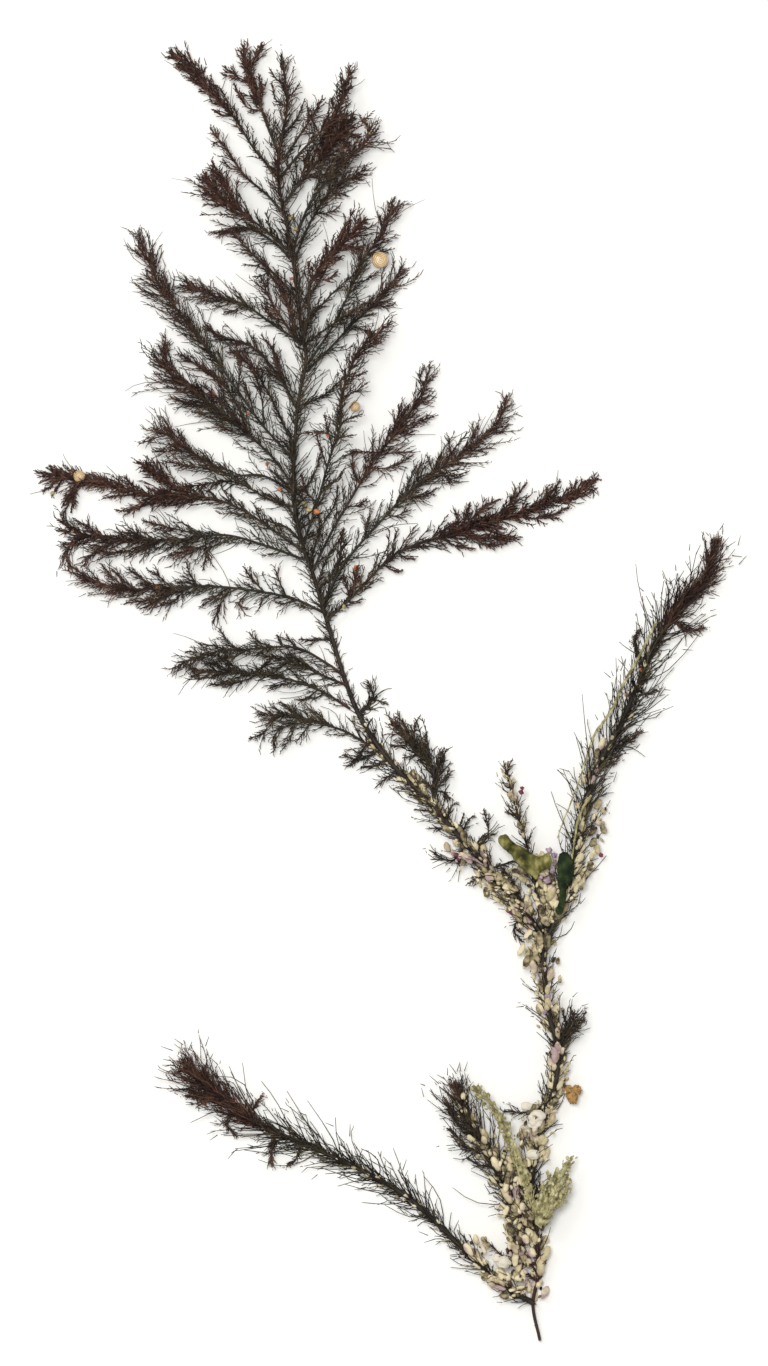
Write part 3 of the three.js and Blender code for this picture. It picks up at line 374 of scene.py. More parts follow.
class GrowthTree(Wiring):
    """A geometry tree with named inputs."""

    def __init__(self, name: str) -> None:
        """Starts an empty tree.

        Args:
            name: the tree's name.
        """
        super().__init__(bpy.data.node_groups.new(name, "GeometryNodeTree"))
        self.source = self.group.nodes.new("NodeGroupInput")
        self.sink = self.group.nodes.new("NodeGroupOutput")

    def take(self, name: str, kind: str = "Float", default: object = None) -> bpy.types.NodeSocket:
        """Adds a named input.

        Args:
            name: the input's name.
            kind: Float, Int, Geometry or Material.
            default: its value when nothing is set.

        Returns:
            The socket that gives its value.
        """
        item = self.group.interface.new_socket(
            name=name, in_out="INPUT", socket_type=f"NodeSocket{kind}"
        )
        if default is not None:
            item.default_value = default
        return self.source.outputs[name]

    def give(self, geometry: bpy.types.NodeSocket) -> None:
        """Ends the tree with its geometry."""
        self.group.interface.new_socket(
            name="Geometry", in_out="OUTPUT", socket_type="NodeSocketGeometry"
        )
        self.group.links.new(geometry, self.sink.inputs["Geometry"])

    def random(self, low: object, high: object, seed: object) -> bpy.types.NodeSocket:
        """Draws a seeded value between two others for each point."""
        node = self.add("FunctionNodeRandomValue", {2: low, 3: high, 8: seed}, data_type="FLOAT")
        return node.outputs[1]

    def random_vector(self, spread: float, seed: object) -> bpy.types.NodeSocket:
        """Draws a seeded vector, up to a spread either way, for each point."""
        inputs = {0: (-spread,) * 3, 1: (spread,) * 3, 8: seed}
        return self.add("FunctionNodeRandomValue", inputs, data_type="FLOAT_VECTOR").outputs[0]

    def read(self, name: str, kind: str = "FLOAT") -> bpy.types.NodeSocket:
        """Reads a named attribute."""
        node = self.add("GeometryNodeInputNamedAttribute", {"Name": name}, data_type=kind)
        return node.outputs[0]

    def store(
        self, geometry: object, name: str, value: object, kind: str = "FLOAT"
    ) -> bpy.types.NodeSocket:
        """Stores a value under a name on each point.

        Args:
            geometry: the geometry that gets the attribute.
            name: the attribute's name.
            value: its value, as a field.
            kind: its data type.

        Returns:
            The geometry with the attribute.
        """
        node = self.add(
            "GeometryNodeStoreNamedAttribute",
            {"Geometry": geometry, "Name": name, "Value": value},
            data_type=kind,
            domain="POINT",
        )
        return node.outputs[0]

    def tube(self, curve: object, sides: int, taper: object) -> bpy.types.NodeSocket:
        """Sweeps a round section along a curve.

        Args:
            curve: the curve geometry.
            sides: sides of the section.
            taper: the radius, as a field.

        Returns:
            The mesh.
        """
        ring = self.add("GeometryNodeCurvePrimitiveCircle", {"Resolution": sides, "Radius": 1.0})
        node = self.add(
            "GeometryNodeCurveToMesh",
            {"Curve": curve, "Profile Curve": ring.outputs[0], "Scale": taper, "Fill Caps": True},
        )
        return node.outputs[0]

    def join(self, *parts: bpy.types.NodeSocket) -> bpy.types.NodeSocket:
        """Joins several geometries into one.

        Args:
            parts: the geometries.

        Returns:
            The joined geometry.
        """
        node = self.add("GeometryNodeJoinGeometry")
        for part in parts:
            self.group.links.new(part, node.inputs[0])
        return node.outputs[0]

    def part(self, group: bpy.types.NodeTree, inputs: dict) -> bpy.types.NodeSocket:
        """Uses another tree inside this one and returns its geometry."""
        return self.add("GeometryNodeGroup", inputs, node_tree=group).outputs[0]

    def close(self, geometry: bpy.types.NodeSocket, material: bpy.types.NodeSocket) -> None:
        """Ends the tree: kept off the surface and under the highest point, realized and smooth.

        Args:
            geometry: the finished geometry.
            material: the socket that gives its finish.
        """
        place = self.add("GeometryNodeInputPosition").outputs[0]
        split = self.add("ShaderNodeSeparateXYZ", {0: place})
        raised = self.math("MAXIMUM", split.outputs[2], LOWEST * MM)
        height = self.math("MINIMUM", raised, HIGHEST * MM)
        kept = self.add("ShaderNodeCombineXYZ", {0: split.outputs[0], 1: split.outputs[1], 2: height})
        moved = self.add("GeometryNodeSetPosition", {"Geometry": geometry, "Position": kept.outputs[0]})
        smooth = self.add("GeometryNodeSetShadeSmooth", {0: moved.outputs[0]})
        real = self.add("GeometryNodeRealizeInstances", {0: smooth.outputs[0]})
        done = self.add("GeometryNodeSetMaterial", {"Geometry": real.outputs[0], "Material": material})
        self.give(done.outputs[0])


def offshoot_tree() -> bpy.types.NodeTree:
    """Makes the tree that grows curved branchlets all along curves.

    Returns:
        The node tree. It reads the attribute reach and gives curves that carry their own reach and thick.
    """
    tree = GrowthTree("offshoots")
    curve = tree.take("Curve", "Geometry")
    spacing = tree.take("Spacing")
    lean = tree.take("Lean")
    share = tree.take("Reach Share", default=1.0)
    thick = tree.take("Thickness")
    bend = tree.take("Bend")
    curl = tree.take("Curl")
    flatness = tree.take("Flatness")
    next_reach = tree.take("Next Reach")
    count = tree.take("Points", "Int", 5)
    seed = tree.take("Seed", "Int", 1)
    seeds = [tree.math("ADD", seed, float(i)) for i in range(8)]

    dots = tree.add("GeometryNodeCurveToPoints", {"Curve": curve, "Length": spacing}, mode="LENGTH")
    points, tangent, normal = dots.outputs[0], dots.outputs[1], dots.outputs[2]
    roll = tree.random(0.0, math.tau, seeds[0])
    side = tree.add(
        "ShaderNodeVectorRotate",
        {"Vector": normal, "Axis": tangent, "Angle": roll},
        rotation_type="AXIS_ANGLE",
    ).outputs[0]
    squash = tree.add("ShaderNodeCombineXYZ", {0: 1.0, 1: 1.0, 2: flatness}).outputs[0]
    side = tree.vector("NORMALIZE", tree.vector("MULTIPLY", side, squash))
    angle = tree.math("MULTIPLY", lean, tree.random(*LEAN_RANGE, seeds[1]))
    forward = tree.vector("SCALE", tangent, tree.math("COSINE", angle))
    outward = tree.vector("SCALE", side, tree.math("SINE", angle))
    aim = tree.vector("ADD", forward, outward)
    wide = tree.math("MULTIPLY", tree.read("reach"), share)
    size = tree.math("DIVIDE", wide, tree.math("SINE", lean))
    size = tree.math("MULTIPLY", size, tree.random(*SIZE_RANGE, seeds[2]))
    slide = tree.math("MULTIPLY", spacing, tree.random(*DRIFT_RANGE, seeds[3]))
    drift = tree.vector("SCALE", tangent, slide)
    points = tree.add("GeometryNodeSetPosition", {"Geometry": points, "Offset": drift}).outputs[0]
    swing = tree.vector("SCALE", tree.random_vector(1.0, seeds[4]), curl)
    swing = tree.vector("ADD", swing, tree.vector("SCALE", tangent, bend))
    points = tree.store(points, "bend", tree.vector("SCALE", swing, size), "FLOAT_VECTOR")
    swirl = tree.vector("SCALE", tree.random_vector(1.0, seeds[6]), tree.math("MULTIPLY", curl, size))
    points = tree.store(points, "swirl", swirl, "FLOAT_VECTOR")
    points = tree.store(points, "shade", tree.random(0.0, 1.0, seeds[5]))
    points = tree.store(points, "reach", size)

    rod = tree.add("GeometryNodeCurvePrimitiveLine", {"End": (0.0, 0.0, 1.0)})
    rod = tree.add("GeometryNodeResampleCurve", {"Curve": rod.outputs[0], "Count": count}, mode="COUNT")
    turn = tree.add("FunctionNodeAlignRotationToVector", {"Vector": aim}, axis="Z").outputs[0]
    stretch = tree.add("ShaderNodeCombineXYZ", {0: size, 1: size, 2: size}).outputs[0]
    rods = tree.add(
        "GeometryNodeInstanceOnPoints",
        {"Points": points, "Instance": rod.outputs[0], "Rotation": turn, "Scale": stretch},
    )
    real = tree.add("GeometryNodeRealizeInstances", {0: rods.outputs[0]}).outputs[0]
    factor = tree.add("GeometryNodeSplineParameter").outputs[0]
    sweep = tree.vector("SCALE", tree.read("bend", "FLOAT_VECTOR"), tree.math("POWER", factor, 2.0))
    sway = tree.math("MULTIPLY", tree.math("SINE", tree.math("MULTIPLY", factor, math.pi)), SWAY)
    sweep = tree.vector("ADD", sweep, tree.vector("SCALE", tree.read("swirl", "FLOAT_VECTOR"), sway))
    real = tree.add("GeometryNodeSetPosition", {"Geometry": real, "Offset": sweep}).outputs[0]
    narrow = tree.math("SUBTRACT", 1.0, tree.math("MULTIPLY", factor, NARROWING))
    real = tree.store(real, "thick", tree.math("MULTIPLY", narrow, thick))
    limited = tree.math("MINIMUM", next_reach, tree.math("MULTIPLY", tree.read("reach"), NEXT_REACH_SHARE))
    tree.give(tree.store(real, "reach", limited))
    return tree.group


def spray_tree(offshoots: bpy.types.NodeTree) -> bpy.types.NodeTree:
    """Makes the tree that turns a frond's lines into a stem with branchlets, spines and hairs.

    Args:
        offshoots: the tree that grows branchlets along curves.

    Returns:
        The node tree.
    """
    tree = GrowthTree("spiny spray")
    mesh = tree.take("Geometry", "Geometry")
    names = ("Spacing", "Lean", "Thickness", "Bend", "Curl", "Flatness")
    first = {name: tree.take(f"Branchlet {name}") for name in names}
    spine = {name: tree.take(f"Spine {name}") for name in ("Spacing", "Lean", "Thickness", "Reach")}
    hair = {name: tree.take(f"Hair {name}") for name in ("Spacing", "Lean", "Thickness", "Curl", "Share")}
    tuft_spacing = tree.take("Tuft Spacing")
    tuft_start = tree.take("Tuft Start")
    tuft_share = tree.take("Tuft Share")
    tuft_lean = tree.take("Tuft Lean")
    hair_end = tree.take("Hair End")
    seed = tree.take("Seed", "Int", 1)
    material = tree.take("Material", "Material")

    stems = tree.add("GeometryNodeMeshToCurve", {"Mesh": mesh}).outputs[0]
    stems = tree.store(stems, "shade", STEM_SHADE)
    shared = {**first, "Next Reach": spine["Reach"], "Points": BRANCHLET_POINTS}
    branchlets = tree.part(offshoots, {**shared, "Curve": stems, "Seed": seed})
    tufted = {"Curve": stems, "Start": tuft_start, "End": 1.0}
    ends = tree.add("GeometryNodeTrimCurve", tufted, mode="FACTOR")
    tufts = tree.part(
        offshoots,
        {
            **shared,
            "Curve": ends.outputs[0],
            "Spacing": tuft_spacing,
            "Reach Share": tuft_share,
            "Lean": tuft_lean,
            "Seed": tree.math("ADD", seed, TUFT_SEED_STEP),
        },
    )
    branchlets = tree.join(branchlets, tufts)
    spines = tree.part(
        offshoots,
        {
            "Curve": branchlets,
            "Spacing": spine["Spacing"],
            "Lean": spine["Lean"],
            "Thickness": spine["Thickness"],
            "Seed": tree.math("ADD", seed, SPINE_SEED_STEP),
            **SPINE_SHAPE,
        },
    )
    bare_tip = {"Curve": stems, "Start": 0.0, "End": hair_end}
    haired = tree.add("GeometryNodeTrimCurve", bare_tip, mode="FACTOR")
    hairs = tree.part(
        offshoots,
        {
            "Curve": haired.outputs[0],
            "Spacing": hair["Spacing"],
            "Lean": hair["Lean"],
            "Reach Share": hair["Share"],
            "Thickness": hair["Thickness"],
            "Curl": hair["Curl"],
            "Seed": tree.math("ADD", seed, HAIR_SEED_STEP),
            **HAIR_SHAPE,
        },
    )
    thick = tree.read("thick")
    solid = tree.join(
        tree.tube(stems, STEM_SIDES, thick),
        tree.tube(branchlets, TWIG_SIDES, thick),
        tree.tube(spines, TWIG_SIDES, thick),
        tree.tube(hairs, TWIG_SIDES, thick),
    )
    tree.close(solid, material)
    return tree.group


def nodule_layer(tree: GrowthTree, curves: object, seed: object, sizes: dict) -> bpy.types.NodeSocket:
    """Scatters one layer of squashed knobs round curves.

    Args:
        tree: the tree that the nodes go into.
        curves: the curves that carry the crust.
        seed: seed of the layer.
        sizes: spacing, girth, size, near, far, fineness and tumble of the knobs.

    Returns:
        The layer's mesh.
    """
    seeds = [tree.math("ADD", seed, float(i)) for i in range(8)]
    dots = tree.add(
        "GeometryNodeCurveToPoints", {"Curve": curves, "Length": sizes["spacing"]}, mode="LENGTH"
    )
    roll = tree.random(0.0, math.tau, seeds[0])
    side = tree.add(
        "ShaderNodeVectorRotate",
        {"Vector": dots.outputs[2], "Axis": dots.outputs[1], "Angle": roll},
        rotation_type="AXIS_ANGLE",
    ).outputs[0]
    side = tree.vector("MULTIPLY", side, KNOB_RING)
    far = tree.math("MULTIPLY", sizes["girth"], tree.random(sizes["near"], sizes["far"], seeds[1]))
    aim = tree.vector("ADD", tree.vector("SCALE", side, KNOB_OUTWARD), dots.outputs[1])
    aim = tree.vector("ADD", aim, tree.random_vector(sizes["tumble"], seeds[7]))
    slide = tree.vector("SCALE", dots.outputs[1], tree.random(-KNOB_SLIDE, KNOB_SLIDE, seeds[2]))
    offset = tree.vector("ADD", tree.vector("SCALE", side, far), slide)
    points = tree.add("GeometryNodeSetPosition", {"Geometry": dots.outputs[0], "Offset": offset}).outputs[0]
    points = tree.store(points, "shade", tree.random(0.0, 1.0, seeds[3]))
    ball = tree.add("GeometryNodeMeshIcoSphere", {"Radius": 1.0, "Subdivisions": sizes["fineness"]})
    grow = tree.math("MULTIPLY", sizes["size"], tree.random(*KNOB_WIDTHS, seeds[4]))
    long = tree.math("MULTIPLY", grow, tree.random(*KNOB_LENGTHS, seeds[5]))
    flat = tree.math("MULTIPLY", grow, tree.random(*KNOB_HEIGHTS, seeds[6]))
    scale = tree.add("ShaderNodeCombineXYZ", {0: grow, 1: flat, 2: long}).outputs[0]
    turn = tree.add("FunctionNodeAlignRotationToVector", {"Vector": aim}, axis="Z").outputs[0]
    knobs = tree.add(
        "GeometryNodeInstanceOnPoints",
        {"Points": points, "Instance": ball.outputs[0], "Rotation": turn, "Scale": scale},
    )
    return tree.add("GeometryNodeRealizeInstances", {0: knobs.outputs[0]}).outputs[0]


def crust_tree() -> bpy.types.NodeTree:
    """Makes the tree that covers a stretch of stem with a knobbly crust.

    Returns:
        The node tree.
    """
    tree = GrowthTree("knobbly crust")
    mesh = tree.take("Geometry", "Geometry")
    girth = tree.take("Girth")
    size = tree.take("Knob Size")
    seed = tree.take("Seed", "Int", 1)
    material = tree.take("Material", "Material")
    curves = tree.add("GeometryNodeMeshToCurve", {"Mesh": mesh}).outputs[0]
    large = {
        "spacing": tree.take("Knob Spacing"),
        "girth": girth,
        "size": size,
        "near": 0.2,
        "far": 1.0,
        "fineness": 2,
        "tumble": 0.25,
    }
    small = {
        **large,
        "spacing": tree.math("MULTIPLY", large["spacing"], 0.8),
        "size": tree.math("MULTIPLY", size, 0.5),
        "near": 0.55,
        "far": 1.3,
        "fineness": 1,
        "tumble": 0.6,
    }
    knobs = tree.join(
        nodule_layer(tree, curves, seed, large),
        nodule_layer(tree, curves, tree.math("ADD", seed, SMALL_KNOB_SEED_STEP), small),
    )
    place = tree.add("GeometryNodeInputPosition").outputs[0]
    grain = tree.add("ShaderNodeTexNoise", {"Vector": place, **KNOB_GRAIN})
    lump = tree.math("MULTIPLY", tree.math("SUBTRACT", grain.outputs[0], 0.5), KNOB_GRAIN_DEPTH)
    outward = tree.add("GeometryNodeInputNormal").outputs[0]
    rough = tree.add(
        "GeometryNodeSetPosition", {"Geometry": knobs, "Offset": tree.vector("SCALE", outward, lump)}
    )
    tree.close(rough.outputs[0], material)
    return tree.group


def thread_tree() -> bpy.types.NodeTree:
    """Makes the tree that turns lines into soft wavy threads.

    Returns:
        The node tree.
    """
    tree = GrowthTree("soft threads")
    mesh = tree.take("Geometry", "Geometry")
    wave = tree.take("Wave")
    material = tree.take("Material", "Material")
    curves = tree.add("GeometryNodeMeshToCurve", {"Mesh": mesh}).outputs[0]
    place = tree.add("GeometryNodeInputPosition").outputs[0]
    drift = tree.add("ShaderNodeTexNoise", {"Vector": place, **THREAD_DRIFT})
    centred = tree.vector("SUBTRACT", drift.outputs[1], (0.5, 0.5, 0.5))
    bent = tree.add(
        "GeometryNodeSetPosition", {"Geometry": curves, "Offset": tree.vector("SCALE", centred, wave)}
    ).outputs[0]
    tree.close(tree.tube(bent, THREAD_SIDES, tree.read("thick")), material)
    return tree.group


class Shader(Wiring):
    """The tree of one procedural material, started with its shader and object coordinates."""

    def __init__(self, name: str, roughness: float, bump: float) -> None:
        """Starts a material.

        Args:
            name: the material's name.
            roughness: base roughness of the surface.
            bump: strength of the fine relief.
        """
        self.material = bpy.data.materials.new(name)
        self.material.use_nodes = True
        super().__init__(self.material.node_tree)
        self.surface = self.group.nodes["Principled BSDF"]
        self.surface.inputs["Roughness"].default_value = roughness
        self.place = self.add("ShaderNodeTexCoord").outputs[3]
        self.bump = bump

    def noise(self, scale: float, detail: float = 3.0) -> bpy.types.NodeSocket:
        """Adds a noise of that scale over the object and returns its value."""
        node = self.add("ShaderNodeTexNoise", {"Vector": self.place, "Scale": scale, "Detail": detail})
        return node.outputs[0]

    def attribute(self, name: str) -> bpy.types.NodeSocket:
        """Reads a mesh attribute and returns its value."""
        node = self.add("ShaderNodeAttribute", attribute_type="GEOMETRY", attribute_name=name)
        return node.outputs[2]

    def ramp(self, factor: object, stops: list[tuple[float, str]]) -> bpy.types.NodeSocket:
        """Turns a value into a colour.

        Args:
            factor: the value, from 0 to 1.
            stops: places along it with their colours.

        Returns:
            The colour socket.
        """
        node = self.add("ShaderNodeValToRGB", {0: factor})
        elements = node.color_ramp.elements
        while len(elements) < len(stops):
            elements.new(0.5)
        for element, (place, code) in zip(elements, stops):
            element.position = place
            element.color = linear(code)
        return node.outputs[0]

    def finish(self, color: object, relief: object, distance: float) -> bpy.types.Material:
        """Joins the colour and the relief to the shader.

        Args:
            color: the colour socket.
            relief: height of the relief.
            distance: depth of the relief in metres.

        Returns:
            The material.
        """
        self.group.links.new(color, self.surface.inputs["Base Color"])
        inputs = {"Strength": self.bump, "Distance": distance, "Height": relief}
        bump = self.add("ShaderNodeBump", inputs)
        self.group.links.new(bump.outputs[0], self.surface.inputs["Normal"])
        return self.material


@dataclass(frozen=True)
class AlgaFinish:
    """Dried alga: red-brown at the tips, olive-black in the body, with a faint sheen."""

    name: str = "dried alga"
    dark: str = "#120f0b"
    body: str = "#2c261b"
    olive: str = "#6b6044"
    brown: str = "#1c100d"
    tip: str = "#40261e"
    pale_tip: str = "#8a6450"
    roughness: float = 0.6
    bump: float = 0.5
    relief: float = 0.00008

    def material(self) -> bpy.types.Material:
        """Builds the material.

        Returns:
            The material.
        """
        shader = Shader(self.name, self.roughness, self.bump)
        shade = shader.attribute("shade")
        broad = shader.noise(260.0, 4.0)
        own = shader.math("MULTIPLY", shade, 0.45)
        mixed = shader.math("ADD", own, shader.math("MULTIPLY", broad, 0.6))
        body = shader.ramp(mixed, [(0.22, self.dark), (0.52, self.body), (0.86, self.olive)])
        tips = shader.ramp(mixed, [(0.22, self.brown), (0.55, self.tip), (0.9, self.pale_tip)])
        color = shader.blend(shader.attribute("tone"), body, tips)
        streaks = shader.noise(3200.0, 2.0)
        shader.surface.inputs["Specular IOR Level"].default_value = 0.35
        return shader.finish(color, streaks, self.relief)


@dataclass(frozen=True)
class CrustFinish:
    """Chalky crust: cream and off-white knobs with mauve patches. The darkest brown, spread at random over
    the knobs, is partly their own darker tone and partly painted shade of the gaps between them.
    """

    name: str = "limy crust"
    # Darkest colour of the crust: partly the knobs' own darker tone, partly painted shade that stands in
    # for the dark gaps between lobes.
    crevice: str = "#403422"
    cream: str = "#bfb088"
    white: str = "#e6d9b6"
    mauve: str = "#9c7790"
    bright: str = "#ded6c3"
    roughness: float = 0.9
    bump: float = 0.8
    relief: float = 0.00015

    def material(self) -> bpy.types.Material:
        """Builds the material.

        Returns:
            The material.
        """
        shader = Shader(self.name, self.roughness, self.bump)
        mottle = shader.noise(900.0, 4.0)
        shade = shader.attribute("shade")
        own = shader.math("MULTIPLY", shade, 0.5)
        mixed = shader.math("ADD", own, shader.math("MULTIPLY", mottle, 0.5))
        # Random knob tone and mottle run from the painted gap shade through cream to white.
        cream = shader.ramp(mixed, [(0.26, self.crevice), (0.45, self.cream), (0.7, self.white)])
        patch = shader.ramp(shader.noise(170.0, 2.0), [(0.57, "#000000"), (0.63, "#ffffff")])
        often = shader.ramp(shade, [(0.25, "#000000"), (0.55, "#d0d0d0")])
        both = shader.add(
            "ShaderNodeMix", {0: 1.0, 6: patch, 7: often}, data_type="RGBA", blend_type="MULTIPLY"
        )
        limy = shader.math("LESS_THAN", shade, HIGHEST_KNOB_SHADE)
        share = shader.math("MULTIPLY", both.outputs[2], limy)
        cream = shader.blend(limy, linear(self.bright), cream)
        color = shader.blend(share, cream, linear(self.mauve))
        return shader.finish(color, shader.noise(2400.0, 4.0), self.relief)


@dataclass(frozen=True)
class BladeFinish:
    """A thin dried blade with darker patches and fine veins."""

    name: str
    dark: str
    light: str
    pale: str
    roughness: float = 0.75
    bump: float = 0.5
    relief: float = 0.0001

    def material(self) -> bpy.types.Material:
        """Builds the material.

        Returns:
            The material.
        """
        shader = Shader(self.name, self.roughness, self.bump)
        shader.surface.inputs["Specular IOR Level"].default_value = 0.2
        patches = shader.noise(420.0, 6.0)
        color = shader.ramp(patches, [(0.34, self.dark), (0.52, self.light), (0.7, self.pale)])
        veins = shader.add(
            "ShaderNodeTexWave",
            {"Vector": shader.place, "Scale": 260.0, "Distortion": 9.0, "Detail": 3.0},
        ).outputs[1]
        darker = shader.math("MULTIPLY", veins, 0.35)
        color = shader.blend(darker, color, linear(self.dark))
        return shader.finish(color, veins, self.relief)


@dataclass(frozen=True)
class ThreadFinish:
    """Soft pale yellow-green threads."""

    name: str = "yellow-green threads"
    dark: str = "#5f5734"
    light: str = "#9f9667"
    pale: str = "#cfc89e"
    roughness: float = 0.75
    bump: float = 0.4
    relief: float = 0.00015

    def material(self) -> bpy.types.Material:
        """Builds the material.

        Returns:
            The material.
        """
        shader = Shader(self.name, self.roughness, self.bump)
        mottle = shader.noise(760.0, 5.0)
        color = shader.ramp(mottle, [(0.32, self.dark), (0.5, self.light), (0.68, self.pale)])
        return shader.finish(color, shader.noise(2600.0), self.relief)


@dataclass(frozen=True)
class ShellFinish:
    """A small amber shell with growth rings."""

    name: str = "amber shell"
    dark: str = "#8f6a3a"
    light: str = "#c8a673"
    pale: str = "#e4cfa4"
    roughness: float = 0.32
    bump: float = 0.4
    relief: float = 0.0001

    def material(self) -> bpy.types.Material:
        """Builds the material.

        Returns:
            The material.
        """
        shader = Shader(self.name, self.roughness, self.bump)
        rings = shader.math("SINE", shader.math("MULTIPLY", shader.attribute("ring"), 30.0))
        rings = shader.math("MULTIPLY", shader.math("ADD", rings, 1.0), 0.2)
        mixed = shader.math("ADD", rings, shader.math("MULTIPLY", shader.noise(700.0, 4.0), 0.7))
        color = shader.ramp(mixed, [(0.3, self.dark), (0.52, self.light), (0.82, self.pale)])
        shader.surface.inputs["Coat Weight"].default_value = 0.2
        return shader.finish(color, mixed, self.relief)


@dataclass(frozen=True)
class SpongeFinish:
    """Brown sponge full of fine pores, whose pits are darkened in colour as painted shade."""

    name: str = "brown sponge"
    # Painted shade inside the pores.
    pore: str = "#5a3e1c"
    light: str = "#b38c55"
    roughness: float = 0.95
    bump: float = 0.9
    relief: float = 0.0002

    def material(self) -> bpy.types.Material:
        """Builds the material.

        Returns:
            The material.
        """
        shader = Shader(self.name, self.roughness, self.bump)
        cells = shader.add(
            "ShaderNodeTexVoronoi", {"Vector": shader.place, "Scale": 1500.0}, feature="F1"
        ).outputs[0]
        # Painted shade: the colour darkens towards each cell's centre, where the bump sinks into a pore.
        color = shader.ramp(cells, [(0.1, self.pore), (0.45, self.light)])
        return shader.finish(color, cells, self.relief)


@dataclass(frozen=True)
class FleckFinish:
    """Tiny grains and scraps caught on the fronds."""

    name: str = "orange grains"
    dark: str = "#8f4d26"
    light: str = "#cd8250"
    roughness: float = 0.6
    bump: float = 0.4
    relief: float = 0.00005

    def material(self) -> bpy.types.Material:
        """Builds the material.

        Returns:
            The material.
        """
        shader = Shader(self.name, self.roughness, self.bump)
        color = shader.ramp(shader.noise(1500.0, 3.0), [(0.35, self.dark), (0.65, self.light)])
        return shader.finish(color, shader.noise(4000.0), self.relief)


@dataclass(frozen=True)
class FloorFinish:
    """The plain pale sheet that the alga lies on."""

    name: str = "pale sheet"
    color: str = "#fefdf9"
    roughness: float = 0.9
    bump: float = 0.05
    relief: float = 0.00005

    def material(self) -> bpy.types.Material:
        """Builds the material.

        Returns:
            The material.
        """
        shader = Shader(self.name, self.roughness, self.bump)
        tint = shader.ramp(shader.noise(30.0), [(0.0, "#fbfaf5"), (1.0, self.color)])
        return shader.finish(tint, shader.noise(500.0), self.relief)


def set_inputs(modifier: bpy.types.Modifier, values: dict[str, object]) -> None:
    """Sets a tree's inputs by the identifiers of their sockets.

    Args:
        modifier: the Geometry Nodes modifier.
        values: the inputs' names with their values.
    """
    for item in modifier.node_group.interface.items_tree:
        if item.item_type == "SOCKET" and item.in_out == "INPUT" and item.name in values:
            modifier[item.identifier] = values[item.name]


def grow(
    name: str, lines: list[Line], tree: bpy.types.NodeTree, values: dict[str, object]
) -> bpy.types.Object:
    """Grows a plain mesh from lines with a geometry tree.

    Args:
        name: the piece's name.
        lines: the stems to grow it on.
        tree: the geometry tree.
        values: the tree's inputs by name.

    Returns:
        The piece's object, with no modifier left.
    """
    mesh = bpy.data.meshes.new(f"{name}_lines")
    points = np.vstack([line.points for line in lines]) * MM
    edges: list[tuple[int, int]] = []
    start = 0
    for line in lines:
        edges += [(start + i, start + i + 1) for i in range(len(line.points) - 1)]
        start += len(line.points)
    mesh.from_pydata(points.tolist(), edges, [])
    columns = {
        "thick": np.concatenate([line.thick for line in lines]) * MM,
        "reach": np.concatenate([line.reach for line in lines]) * MM,
        "tone": np.concatenate([line.tone for line in lines]),
    }
    for key, column in columns.items():
        attribute = mesh.attributes.new(key, "FLOAT", "POINT")
        attribute.data.foreach_set("value", column.astype(np.float32))
    carrier = bpy.data.objects.new(f"{name}_lines", mesh)
    bpy.context.scene.collection.objects.link(carrier)
    modifier = carrier.modifiers.new("growth", "NODES")
    modifier.node_group = tree
    set_inputs(modifier, values)
    evaluated = carrier.evaluated_get(bpy.context.evaluated_depsgraph_get())
    grown = bpy.data.meshes.new_from_object(evaluated)
    grown.name = name
    bpy.data.objects.remove(carrier)
    bpy.data.meshes.remove(mesh)
    for key in WORKING_ATTRIBUTES:
        if key in grown.attributes:
            grown.attributes.remove(grown.attributes[key])
    grown.materials.clear()
    grown.materials.append(values["Material"])
    grown.polygons.foreach_set("material_index", [0] * len(grown.polygons))
    piece = bpy.data.objects.new(name, grown)
    bpy.context.scene.collection.objects.link(piece)
    return piece


def mesh_piece(name: str, work: bmesh.types.BMesh, material: bpy.types.Material) -> bpy.types.Object:
    """Turns mesh data in millimetres into a smooth piece in metres.

    Args:
        name: the piece's name.
        work: the mesh data, which is freed.
        material: the piece's finish.

    Returns:
        The piece's object.
    """
    bmesh.ops.scale(work, vec=(MM, MM, MM), verts=work.verts)
    bmesh.ops.recalc_face_normals(work, faces=work.faces)
    for face in work.faces:
        face.smooth = True
    mesh = bpy.data.meshes.new(name)
    work.to_mesh(mesh)
    work.free()
    mesh.materials.append(material)
    piece = bpy.data.objects.new(name, mesh)
    bpy.context.scene.collection.objects.link(piece)
    return piece


def absorb(piece: bpy.types.Object, other: bpy.types.Object) -> None:
    """Adds another piece's mesh of the same finish to a piece.

    Args:
        piece: the piece that stays.
        other: the piece that goes.
    """
    work = bmesh.new()
    work.from_mesh(piece.data)
    work.from_mesh(other.data)
    work.to_mesh(piece.data)
    work.free()
    spent = other.data
    bpy.data.objects.remove(other)
    bpy.data.meshes.remove(spent)


def declare(piece: bpy.types.Object, slot: str, *nodes: str) -> None:
    """Hangs a piece under the root body, hides the solids that it stands for and reports its triangles.

    Args:
        piece: the piece's object.
        slot: not used.
        nodes: the solids that it stands for.
    """
    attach(piece, "root")
    if nodes:
        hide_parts(*nodes)
    piece.data.calc_loop_triangles()
    LOG.info("%s: %d triangles", piece.name, len(piece.data.loop_triangles))


